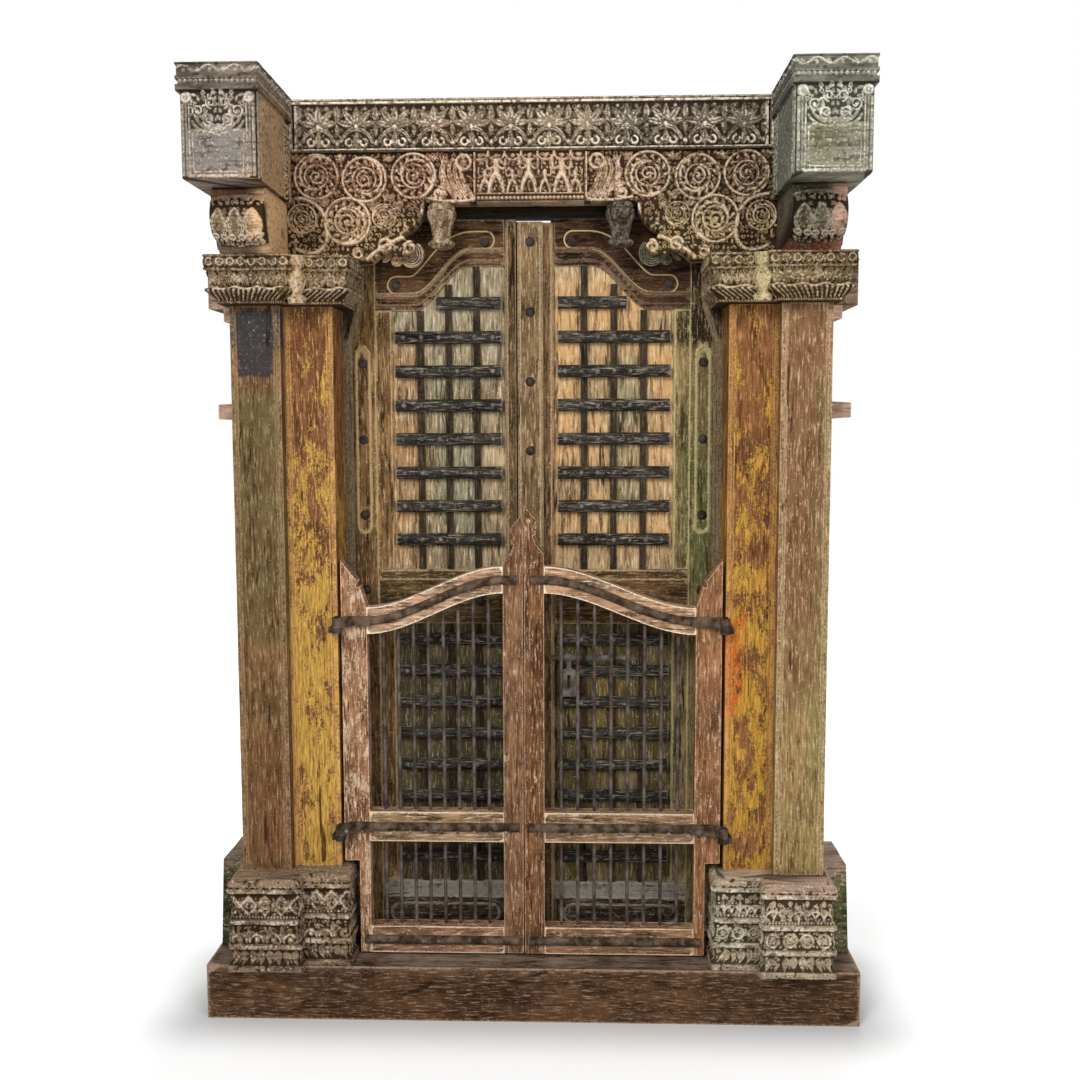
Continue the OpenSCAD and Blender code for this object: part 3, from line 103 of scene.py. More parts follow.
def bend(*points, count=24):
    """A smooth curve through three points or along four control points."""
    p = np.array(points, float)
    t = np.linspace(0, 1, count)[:, None]
    if len(p) == 3:
        p = np.array([p[0], 2 * p[1] - (p[0] + p[2]) / 2, p[2]])
        return (1 - t) ** 2 * p[0] + 2 * t * (1 - t) * p[1] + t**2 * p[2]
    return (1 - t) ** 3 * p[0] + 3 * t * (1 - t) ** 2 * p[1] + 3 * t**2 * (1 - t) * p[2] + t**3 * p[3]


class Relief:
    """Carving heights, 0 on the ground and 1 on the highest ridge, over places across and up."""

    def __init__(self, u, v):
        self.u, self.v = np.asarray(u, float), np.asarray(v, float)
        self.h = np.zeros(len(self.u))

    def near(self, at, reach):
        """Numbers of the places in a square about a point."""
        return np.nonzero((abs(self.u - at[0]) < reach) & (abs(self.v - at[1]) < reach))[0]

    def lift(self, i, height):
        """Raise places to a height, where they aren't higher already."""
        self.h[i] = np.maximum(self.h[i], height)

    def dome(self, i, share, top):
        """Round ridge over a share that goes from 0 at its middle to 1 at its edge."""
        self.lift(i, top * np.sqrt(np.clip(1 - share**2, 0, 1)))

    def ball(self, at, r, top=1.0):
        i = self.near(at, r)
        self.dome(i, np.hypot(self.u[i] - at[0], self.v[i] - at[1]) / r, top)

    def ring(self, at, r, half, top=1.0):
        i = self.near(at, r + half)
        self.dome(i, (np.hypot(self.u[i] - at[0], self.v[i] - at[1]) - r) / half, top)

    def leaf(self, at, angle, length, width, top=1.0, vein=0.35):
        """Pointed leaf from its root, with a groove for its vein."""
        i = self.near(at, length)
        c, s = math.cos(math.radians(angle)), math.sin(math.radians(angle))
        a = (self.u[i] - at[0]) * c + (self.v[i] - at[1]) * s
        b = (self.v[i] - at[1]) * c - (self.u[i] - at[0]) * s
        t = np.clip(a / length, 0, 1)
        half = width / 2 * np.sin(math.pi * t**0.8) + 1e-6
        groove = 1 - vein * np.exp(-((b / (0.16 * width)) ** 2))
        inside = np.clip(1 - (b / half) ** 2, 0, 1) * (a > 0) * (a < length)
        self.lift(i, top * np.sqrt(inside) * groove)

    def stroke(self, path, half, top=1.0, taper=(1.0, 1.0), vein=0.0):
        """Ridge along a path; its half width goes from one share to the other of the taper."""
        path = np.asarray(path, float)
        middle = (path.min(0) + path.max(0)) / 2
        i = self.near(middle, (path.max(0) - path.min(0)).max() / 2 + half * max(taper))
        if not len(i):
            return
        p = np.stack([self.u[i], self.v[i]], 1)
        best = np.full(len(i), 1e9)
        where = np.zeros(len(i))
        for k in range(len(path) - 1):
            d = path[k + 1] - path[k]
            t = np.clip((p - path[k]) @ d / max(d @ d, 1e-9), 0, 1)
            gap = np.hypot(*(p - path[k] - t[:, None] * d).T)
            closer = gap < best
            best = np.where(closer, gap, best)
            where = np.where(closer, (k + t) / (len(path) - 1), where)
        width = half * (taper[0] + (taper[1] - taper[0]) * where) + 1e-6
        share = best / width
        groove = 1 - vein * np.exp(-((share / 0.3) ** 2))
        self.lift(i, top * np.sqrt(np.clip(1 - share**2, 0, 1)) * groove)

    def plate(self, low, high, top, soft=1.2):
        """Flat raised rectangle with eased edges."""
        inset = np.minimum.reduce([self.u - low[0], high[0] - self.u, self.v - low[1], high[1] - self.v])
        self.lift(slice(None), top * np.clip(inset / soft + 0.5, 0, 1))

    def age(self, seed, wear):
        """Rub the ridges down unevenly and chip them; returns a small unevenness from -1 to 1."""
        at = np.stack([self.u, self.v, 0 * self.u], 1)
        rub = np.clip(1 - wear * value_noise(at, 24, seed), 0, 1)
        chip = np.clip((value_noise(at, 8, seed + 1) - 0.72) / 0.12, 0, 1)
        self.h = self.h * rub * (1 - 1.5 * wear * chip)
        return 2 * value_noise(at, 7, seed + 2) - 1

    def beads(self, start, end, count, r, top=1.0):
        """Row of round beads from a start to an end."""
        for t in (np.arange(count) + 0.5) / count:
            self.ball((start[0] + (end[0] - start[0]) * t, start[1] + (end[1] - start[1]) * t), r, top)

    def flower(self, at, r, petals, turn=0.0, top=1.0):
        """Petals about a round heart."""
        for k in range(petals):
            a = turn + 360 * k / petals
            root = (at[0] + 0.2 * r * math.cos(math.radians(a)), at[1] + 0.2 * r * math.sin(math.radians(a)))
            self.leaf(root, a, 0.8 * r, 2.3 * r / petals + 0.14 * r, top)
        self.ball(at, 0.24 * r, top)

    def foliage(self, low, high, pitch, seed, middle=None, top=1.0):
        """Dense leaves, curls and seeds on a loose grid, turned by a swirl, mirrored about a middle line."""
        rng = np.random.default_rng(seed)
        first = low[0] if middle is None else middle
        for v in np.arange(low[1] + pitch / 2, high[1] - pitch / 3, pitch):
            for u in np.arange(first + pitch / 2, high[0] - pitch / 3, pitch):
                du, dv, turn = rng.uniform(-0.2, 0.2), rng.uniform(-0.2, 0.2), rng.uniform(-50, 50)
                angle = 90 + turn + 70 * math.sin(u / pitch * 1.3) * math.cos(v / pitch)
                size, pick = pitch * rng.uniform(1.0, 1.35), rng.random()
                at = (u + du * pitch, v + dv * pitch)
                for side in (1,) if middle is None else (1, -1):
                    place = (at[0] if side > 0 else 2 * middle - at[0], at[1])
                    if pick < 0.25:
                        self.ring(place, pitch * 0.3, pitch * 0.16, top)
                    elif pick < 0.45:
                        self.ball(place, pitch * 0.3, top)
                    else:
                        self.leaf((place[0], place[1] - pitch / 2), angle if side > 0 else 180 - angle, size,
                                  pitch * 0.62, top)


def roundel(relief, at, r, hand, seed):
    """Scroll of a vine: an outer stem that winds in to a ring, comma leaves between, a swirl inside."""
    start = np.random.default_rng(seed).uniform(0, 360)
    relief.ring(at, 0.93 * r, 0.075 * r)
    relief.stroke(arc(at, (0.9 * r, 0.5 * r), start, start + hand * 250, 40), 0.07 * r, 0.95)
    relief.ring(at, 0.5 * r, 0.065 * r, 0.9)
    commas = 14
    for a in start + hand * (30 + 360 / commas * np.arange(commas)):
        comma = arc(at, (0.75 * r, 0.6 * r), a, a + hand * 13, 6)
        relief.ball(comma[0], 0.1 * r, 0.95)
        relief.stroke(comma, 0.07 * r, 0.9, (1, 0.5))
    relief.stroke(arc(at, (0.36 * r, 0.1 * r), start, start - hand * 430, 40), 0.06 * r, 0.92)
    for a in start + 60 * np.arange(6):
        c, s = math.cos(math.radians(a)), math.sin(math.radians(a))
        relief.leaf((at[0] + 0.22 * r * c, at[1] + 0.22 * r * s), a + hand * 50, 0.22 * r, 0.13 * r, 0.85)
    relief.ball(at, 0.1 * r)


# ---- Meshes ------------------------------------------------------------------------------------

# Angles in degrees up to which faces are shaded as one: carving, plain timber, bulges and rods
CARVING, PLANED, BULGING, ROUND = 35, 40, 50, 60
# Slabs: rubbing of the ridges, unevenness in millimetres and tone of the back
SLAB_WEAR, SLAB_UNEVEN, BACK_TONE = 0.25, 0.6, 0.3
# Blocks: how far from a corner the carving fades out, in millimetres
CORNER_FADE = 3
# Plain timbers: an edge is sharp from this angle, most cuts along an axis, and how far edges are worn
SHARP_ANGLE, MOST_CUTS, EDGE_REACH = math.radians(25), 48, 7
# Vertices of a node that are nearer than this, in metres, are one
WELD = 2e-5


def make_piece(name, verts, faces, tones, material, node, smooth=CARVING):
    """A closed mesh that stands for a CAD node, with a carving tone at each vertex."""
    mesh = bpy.data.meshes.new(name)
    mesh.from_pydata((np.asarray(verts) * MM).tolist(), [], [list(map(int, f)) for f in faces])
    bm = bmesh.new()
    bm.from_mesh(mesh)
    bmesh.ops.recalc_face_normals(bm, faces=bm.faces)
    bm.to_mesh(mesh)
    bm.free()
    for key, values in tones.items():
        attribute = mesh.attributes.new(key, "FLOAT", "POINT")
        attribute.data.foreach_set("value", np.asarray(values, np.float32))
    mesh.shade_smooth()
    mesh.set_sharp_from_angle(angle=math.radians(smooth))
    mesh.materials.append(material)
    piece = bpy.data.objects.new(name, mesh)
    bpy.context.scene.collection.objects.link(piece)
    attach(piece, BODY_OF[node])
    return piece


def replace_node(node, verts, faces, tones, material, smooth=CARVING):
    """A piece that is shown in place of a node."""
    piece = make_piece("look_" + node, verts, faces, tones, material, node, smooth)
    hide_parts(node)
    return piece


def ring_faces(rings, count):
    """Faces between rings of equally many points, and one face over each end."""
    faces = []
    for first in range(0, (rings - 1) * count, count):
        a = first + np.arange(count)
        b = first + (np.arange(count) + 1) % count
        faces += np.stack([a, b, b + count, a + count], 1).tolist()
    return faces + [list(range(count)), list(range((rings - 1) * count, rings * count))]


def joined(meshes):
    """Vertices and faces of several meshes as one."""
    verts, faces = [], []
    for places, polygons in meshes:
        faces += [[k + len(verts) for k in face] for face in polygons]
        verts += places.tolist()
    return np.array(verts), faces


def profile_at(profile, share):
    """How far a stepped profile stands at a share of its height."""
    return float(np.interp(share, [p[0] for p in profile], [p[1] for p in profile]))


def inside(points, outline):
    """Which points lie inside an outline."""
    x, z = points[:, 0], points[:, 1]
    hit = np.zeros(len(points), bool)
    for (x0, z0), (x1, z1) in zip(outline, np.roll(outline, -1, axis=0)):
        cross = (z0 > z) != (z1 > z)
        with np.errstate(divide="ignore", invalid="ignore"):
            hit ^= cross & (x < (x1 - x0) * (z - z0) / (z1 - z0) + x0)
    return hit


def carved_slab(node, outline, y_ground, y_back, depth, cell, carve, material):
    """Slab with any outline in x and z whose front is carved by a height map."""
    rim = []
    for a, b in zip(outline, np.roll(outline, -1, axis=0)):
        steps = max(1, round(math.dist(a, b) / cell))
        rim += [a + (b - a) * k / steps for k in range(steps)]
    rim = np.array(rim)
    low, high = rim.min(0), rim.max(0)
    gx, gz = np.meshgrid(np.arange(low[0], high[0], cell), np.arange(low[1], high[1], cell))
    grid = np.stack([gx.ravel(), gz.ravel()], 1)
    grid = grid[inside(grid, outline)]
    far = np.ones(len(grid), bool)
    clear = cell * 0.6
    for p in rim:
        far &= (abs(grid[:, 0] - p[0]) >= clear) | (abs(grid[:, 1] - p[1]) >= clear)
    places = np.concatenate([rim, grid[far]])
    n = len(rim)
    loop = [(k, (k + 1) % n) for k in range(n)]
    flat, _, faces, sources, _, _ = geometry.delaunay_2d_cdt([Vector(p) for p in places], loop, [], 1, 1e-4)
    flat = np.array([tuple(p) for p in flat])
    relief = Relief(flat[:, 0], flat[:, 1])
    carve(relief)
    uneven = relief.age(len(node), SLAB_WEAR)
    front = np.stack([flat[:, 0], y_ground - depth * relief.h + SLAB_UNEVEN * uneven, flat[:, 1]], 1)
    new_of = {}
    for k, source in enumerate(sources):
        for s in source:
            new_of.setdefault(s, k)
    edge = [new_of[k] for k in range(n)]
    back = np.stack([rim[:, 0], np.full(n, y_back), rim[:, 1]], 1)
    m = len(front)
    faces = [list(f) for f in faces]
    faces += [[edge[a], edge[b], m + b, m + a] for a, b in loop]
    faces.append([m + k for k in range(n)])
    tone = np.concatenate([relief.h, np.full(n, BACK_TONE)])
    return replace_node(node, np.concatenate([front, back]), faces, {"relief": tone}, material)


def wrapped_block(node, plan, rows, offset, carve, material, flip=False, wear=0.3):
    """Upright block with a closed plan. Each edge of the plan is (x, y, kind, cell) at its start.

    offset(kind, z) sets the face in from the plan. carve(kind, relief, length) carves it, over the run
    from the edge's start and the height, and returns the carving's depth in millimetres.
    """
    corners = np.array([p[:2] for p in plan], float)
    kinds = [p[2] for p in plan]
    following = np.roll(corners, -1, axis=0)
    along = following - corners
    lengths = np.hypot(*along.T)
    along /= lengths[:, None]
    area = np.sum(corners[:, 0] * following[:, 1] - following[:, 0] * corners[:, 1])
    turn = 1 if area > 0 else -1
    normals = turn * np.stack([along[:, 1], -along[:, 0]], 1)
    rows = np.asarray(rows, float)
    count = len(plan)
    insets = np.array([[offset(kind, z) for z in rows] for kind in kinds])
    rings = []
    for k in range(count):
        n0, n1 = normals[k - 1], normals[k]
        solve = np.linalg.inv(np.stack([n0, n1]))
        target = np.stack([n0 @ corners[k] - insets[k - 1], n1 @ corners[k] - insets[k]], 1)
        rings.append(target @ solve.T)
    columns, tones = [], []
    for k in range(count):
        steps = max(1, round(lengths[k] / plan[k][3]))
        t = np.arange(steps) / steps
        start, end = rings[k], rings[(k + 1) % count]
        points = start[:, None, :] + (end - start)[:, None, :] * t[None, :, None]
        run, up = np.meshgrid(t * lengths[k], rows)
        relief = Relief(run.ravel(), up.ravel())
        depth = carve(kinds[k], relief, lengths[k])
        uneven = relief.age(k + len(node), wear)
        height = (relief.h * depth + 2 * wear * uneven).reshape(len(rows), steps)
        fade = np.clip(np.minimum(run, lengths[k] - run) / CORNER_FADE, 0, 1)
        points = points + normals[k] * (height * fade)[:, :, None]
        columns.append(points)
        tones.append(relief.h.reshape(len(rows), steps))
    ring = np.concatenate(columns, 1)
    tone = np.concatenate(tones, 1)
    m = ring.shape[1]
    verts = np.concatenate([ring, np.repeat(rows[:, None, None], m, 1)], 2).reshape(-1, 3)
    if flip:
        verts[:, 0] *= -1
    return replace_node(node, verts, ring_faces(len(rows), m), {"relief": tone.ravel()}, material)


def step_rows(levels, cell):
    """Heights from the lowest to the highest level, with a row at each level."""
    rows = []
    for a, b in zip(levels[:-1], levels[1:]):
        steps = max(1, math.ceil((b - a) / cell))
        rows += [a + (b - a) * k / steps for k in range(steps)]
    return rows + [levels[-1]]


def islands(node):
    """Lowest and highest corner of each separate solid of a node, in millimetres."""
    bm = bmesh.new()
    bm.from_mesh(frame["nodes"][node].data)
    bmesh.ops.remove_doubles(bm, verts=bm.verts, dist=WELD)
    left, boxes = set(bm.verts), []
    while left:
        group, queue = set(), [left.pop()]
        while queue:
            vert = queue.pop()
            group.add(vert)
            for edge in vert.link_edges:
                other = edge.other_vert(vert)
                if other in left:
                    left.discard(other)
                    queue.append(other)
        places = np.array([v.co[:] for v in group]) / MM
        boxes.append((places.min(0), places.max(0)))
    bm.free()
    return sorted(boxes, key=lambda b: (round(b[0][2]), b[0][0]))


def aged(bm, bevel, cell, wobble):
    """Bevelled and slightly uneven form of a plain mesh, with the nearness of its sharp edges."""
    bmesh.ops.remove_doubles(bm, verts=bm.verts, dist=WELD)
    bmesh.ops.dissolve_limit(bm, angle_limit=math.radians(1), verts=bm.verts, edges=bm.edges)
    sharp = [e for e in bm.edges if len(e.link_faces) == 2 and e.calc_face_angle() > SHARP_ANGLE]
    ends = np.array([[e.verts[0].co[:], e.verts[1].co[:]] for e in sharp]) / MM
    bmesh.ops.bevel(bm, geom=sharp, offset=bevel * MM, offset_type="OFFSET", segments=2, profile=0.6,
                    affect="EDGES", clamp_overlap=True)
    places = np.array([v.co[:] for v in bm.verts])
    low, high = places.min(0), places.max(0)
    for axis in range(3):
        step = max(cell * MM, (high[axis] - low[axis]) / MOST_CUTS)
        for place in np.arange(low[axis] + step, high[axis] - step / 2, step):
            at = [place if k == axis else 0 for k in range(3)]
            along = [1 if k == axis else 0 for k in range(3)]
            bmesh.ops.bisect_plane(bm, geom=bm.verts[:] + bm.edges[:] + bm.faces[:], dist=1e-6,
                                   plane_co=at, plane_no=along)
    bm.normal_update()
    bm.verts.index_update()
    verts = np.array([v.co[:] for v in bm.verts]) / MM
    normals = np.array([v.normal[:] for v in bm.verts])
    faces = [[v.index for v in f.verts] for f in bm.faces]
    bm.free()
    gap = np.full(len(verts), 1e9)
    for a, b in ends:
        d = b - a
        t = np.clip((verts - a) @ d / max(d @ d, 1e-9), 0, 1)
        gap = np.minimum(gap, np.sqrt(((verts - a - t[:, None] * d) ** 2).sum(1)))
    rough = value_noise(verts, 55, 3) + 0.5 * value_noise(verts, 21, 4) - 0.75
    verts = verts + normals * (wobble * rough)[:, None]
    verts[:, 2] = np.maximum(verts[:, 2], low[2] / MM)
    return verts, faces, {"edge": np.exp(-gap / EDGE_REACH)}


def aged_copy(node, material, bevel=2.0, cell=14.0, wobble=0.5):
    """Aged form of a plain node, which it stands for."""
    bm = bmesh.new()
    bm.from_mesh(frame["nodes"][node].data)
    return replace_node(node, *aged(bm, bevel, cell, wobble), material, PLANED)


def aged_block(name, low, high, material, node):
    """Short timber between two corners, as a part of a node."""
    low, high = np.minimum(low, high) * MM, np.maximum(low, high) * MM
    bm = bmesh.new()
    place = Matrix.LocRotScale(Vector((low + high) / 2), None, Vector(high - low))
    bmesh.ops.create_cube(bm, size=1, matrix=place)
    return make_piece(name, *aged(bm, 3, 10, 1.0), material, node, PLANED)


# ---- Materials ---------------------------------------------------------------------------------


class Paint:
    """Builds one procedural material; colours are linear and sizes are in metres."""

    def __init__(self, name):
        self.material = bpy.data.materials.new(name)
        self.material.use_nodes = True
        self.tree = self.material.node_tree
        self.shader = self.tree.nodes["Principled BSDF"]
        self.shader.inputs["Specular IOR Level"].default_value = 0.1
        self.place = self.tree.nodes.new("ShaderNodeTexCoord").outputs["Object"]

    def feed(self, socket, value):
        """Link a socket to another one, or set its value; a colour gets full alpha."""
        if isinstance(value, bpy.types.NodeSocket):
            self.tree.links.new(value, socket)
        else:
            socket.default_value = (*value, 1) if socket.type == "RGBA" else value

    def node(self, kind, inputs, output=0, **settings):
        """Output of a new node, with its inputs fed by name or number."""
        node = self.tree.nodes.new("ShaderNode" + kind)
        for key, value in settings.items():
            setattr(node, key, value)
        for key, value in inputs.items():
            self.feed(node.inputs[key], value)
        return node.outputs[output]

    def noise(self, size, detail=3, rough=0.55, stretch=(1, 1, 1), bend=0.0):
        """Noise about 0.5 with features of the given size, which may be stretched and bent."""
        at = self.node("Mapping", {"Vector": self.place, "Scale": [1 / s for s in stretch]})
        return self.node("TexNoise", {"Vector": at, "Scale": 1 / size, "Detail": detail, "Roughness": rough,
                                      "Distortion": bend}, "Fac")

    def tone(self, name):
        """Value that the mesh carries at its vertices."""
        return self.node("Attribute", {}, "Fac", attribute_name=name)

    def math(self, kind, a, b=0.0):
        return self.node("Math", {0: a, 1: b}, operation=kind)

    def times(self, a, b):
        return self.math("MULTIPLY", a, b)

    def plus(self, a, b):
        return self.math("ADD", a, b)

    def span(self, value, low, high):
        """Ramp from 0 at low to 1 at high, held outside."""
        return self.node("MapRange", {"Value": value, "From Min": low, "From Max": high}, "Result",
                         interpolation_type="SMOOTHSTEP")

    def axis(self, index):
        return self.node("SeparateXYZ", {0: self.place}, index)

    def within(self, low, high, soft, ragged):
        """Mask of a box in the frame, with soft and ragged edges."""
        mask = 1.0
        wander = self.times(self.math("SUBTRACT", self.noise(0.02, 4), 0.5), ragged * 4)
        for k in range(3):
            at = self.plus(self.axis(k), wander)
            mask = self.times(self.span(at, low[k] - soft, low[k] + soft), mask)
            mask = self.times(self.span(at, high[k] + soft, high[k] - soft), mask)
        return mask

    def ramp(self, stops):
        """Value that changes with the height; the stops are pairs of height in metres and value."""
        total = stops[0][1]
        for (z0, v0), (z1, v1) in zip(stops[:-1], stops[1:]):
            total = self.plus(self.times(self.span(self.axis(2), z0, z1), v1 - v0), total)
        return total

    def mix(self, share, a, b):
        return self.node("Mix", {0: share, 6: a, 7: b}, 2, data_type="RGBA")

    def cover(self, body, mask, share, colour):
        """Lay a share of a colour over the body where the mask is."""
        return self.mix(self.times(mask, share), body, colour)

    def bump(self, height, depth, strength):
        normal = self.node("Bump", {"Strength": strength, "Distance": depth, "Height": height})
        self.feed(self.shader.inputs["Normal"], normal)

    def finish(self, colour, roughness):
        self.feed(self.shader.inputs["Base Color"], colour)
        self.feed(self.shader.inputs["Roughness"], roughness)
        return self.material


def grain_stretch(axis):
    """Stretch of a noise along the grain."""
    return tuple(9.0 if k == axis else 1.0 for k in range(3))


def scaled(colour, share):
    """Darker or paler form of a colour, held at white."""
    return tuple(min(share * c, 1.0) for c in colour)


def tinted(p, body, tints, blotch):
    """Lay patches of tint over a colour: each has a colour, a box in the frame and a strength."""
    for colour, low, high, share in tints:
        blotched = p.times(p.span(blotch, 0.28, 0.6), share)
        body = p.cover(body, p.within(low, high, 0.03, 0.008), blotched, colour)
    return body


# How much darker the dark colour (painted shade in the carved ground, and grain and pits) and paler the worn
# ridges are than written, and the tone of plain faces
GROUND_SHADE_AND_GRAIN, CREST, FLAT = 0.6, 1.12, 0.38


def carved_paint(name, dark, mid, light, tints=()):
    """Carved timber: dark with painted shade in the ground, worn pale on the ridges, with patches of tint."""
    p = Paint("carved_" + name)
    dark, light = scaled(dark, GROUND_SHADE_AND_GRAIN), scaled(light, CREST)
    height = p.tone("relief")
    blotch = p.noise(0.11, 4, 0.6)
    fleck = p.noise(0.0065, 5, 0.7)
    fibre = p.noise(0.010, 5, 0.65, grain_stretch(0))
    body = p.mix(p.span(blotch, 0.35, 0.68), scaled(mid, 0.7), scaled(mid, 1.35))
    body = tinted(p, body, tints, blotch)
    body = p.cover(body, p.span(fibre, 0.52, 0.38), 0.6, dark)
    body = p.cover(body, p.span(fleck, 0.53, 0.68), 0.7, light)
    worn = p.plus(height, p.times(p.math("SUBTRACT", fleck, 0.5), 1.3))
    colour = p.cover(body, p.span(worn, 0.5, 0.95), 0.95, light)
    pitted = p.times(p.span(fleck, 0.45, 0.33), p.span(height, 0.3, 0.75))
    colour = p.cover(colour, pitted, 0.7, dark)
    # Painted shade: the low carved ground is turned almost to the dark colour.
    colour = p.cover(colour, p.span(height, 0.32, 0.06), 0.95, dark)
    p.bump(p.plus(p.times(fibre, 0.6), fleck), 0.002, 0.9)
    return p.finish(colour, p.span(fleck, -0.9, 0.9))


def timber_paint(name, dark, mid, light, grain=2, worn_edge=0.7, tints=(), chips=None, patches=(), coarse=1.0,
                 streak=0.75):
    """Plain timber: grain, blotches, worn edges, and tints, patches or chips of old paint.

    A patch has a colour, a box in the frame, a strength and the raggedness of its edge. Chips have a
    colour, how their density changes with the height, and a size.
    """
    p = Paint("timber_" + name)
    dark, light = scaled(dark, 0.75), scaled(light, 1.3)
    fibre = p.noise(0.014 * coarse, 7, 0.72, grain_stretch(grain), 0.6 * coarse)
    fine = p.noise(0.005, 5, 0.7, grain_stretch(grain))
    blotch = p.noise(0.13, 5, 0.62)
    fleck = p.noise(0.0065, 5, 0.72)
    body = p.mix(p.span(blotch, 0.36, 0.66), scaled(mid, 0.66), scaled(mid, 1.35))
    body = tinted(p, body, tints, blotch)
    body = p.cover(body, p.span(fibre, 0.53, 0.36), 0.9, dark)
    body = p.cover(body, p.span(fine, 0.47, 0.34), 0.7, dark)
    body = p.cover(body, p.span(fine, 0.52, 0.66), streak, light)
    if chips:
        coat, density, size = chips
        torn = p.plus(p.noise(size, 8, 0.76, (1, 1, 2.4), 0.3), p.times(fleck, 0.4))
        layer = p.mix(p.span(fine, 0.36, 0.66), scaled(coat, 0.5), scaled(coat, 1.25))
        body = p.mix(p.span(p.plus(torn, p.ramp(density)), 0.70, 0.76), body, layer)
    for colour, low, high, share, ragged in patches:
        flecked = p.mix(p.span(fleck, 0.3, 0.8), colour, scaled(colour, 1.7))
        body = p.cover(body, p.within(low, high, ragged / 2, ragged), share, flecked)
    body = p.cover(body, p.span(fleck, 0.58, 0.7), 0.7, light)
    body = p.cover(body, p.span(fleck, 0.4, 0.3), 0.6, dark)
    rubbed = p.span(p.plus(p.tone("edge"), p.times(fleck, 0.8)), 1.05, 1.35)
    colour = p.cover(body, rubbed, worn_edge, light)
    crack = p.span(p.noise(0.022 * coarse, 4, 0.6, grain_stretch(grain), 0.8 * coarse), 0.36, 0.31)
    colour = p.cover(colour, crack, 0.85, scaled(dark, 0.35))
    p.bump(p.math("SUBTRACT", p.plus(fibre, p.times(fine, 0.5)), crack), 0.0025, 0.9)
    return p.finish(colour, p.span(fleck, -0.9, 0.9))


def iron_paint(name, dark, light, rust):
    """Forged iron: dull, pitted, rubbed bright here and there and rusty in patches."""
    p = Paint(name + "_iron")
    pits = p.noise(0.004, 4, 0.65)
    colour = p.mix(p.span(p.noise(0.03, 4, 0.6), 0.35, 0.7), dark, light)
    colour = p.cover(colour, p.span(p.noise(0.018, 4), 0.5, 0.7), 0.6, rust)
    p.shader.inputs["Metallic"].default_value = 0.4
    p.bump(pits, 0.0014, 0.8)
    return p.finish(colour, p.span(pits, -0.6, 1.0))


REDDISH, OCHRE, PINK = (0.26, 0.11, 0.06), (0.40, 0.23, 0.07), (0.42, 0.27, 0.2)
OLIVE, GREEN, MOSS = (0.16, 0.135, 0.065), (0.12, 0.12, 0.042), (0.26, 0.22, 0.07)
# The last colour darkens the lower boards: partly their own dark panels, partly painted shade of the gates in
# front.
BLACK, NEAR_BLACK_BROWN, DARK_AND_GATE_SHADE = (0.03, 0.03, 0.033), (0.03, 0.017, 0.009), (0.055, 0.04, 0.017)
MOULDING, PALE_WOOD = (0.26, 0.245, 0.21), (0.60, 0.42, 0.28)
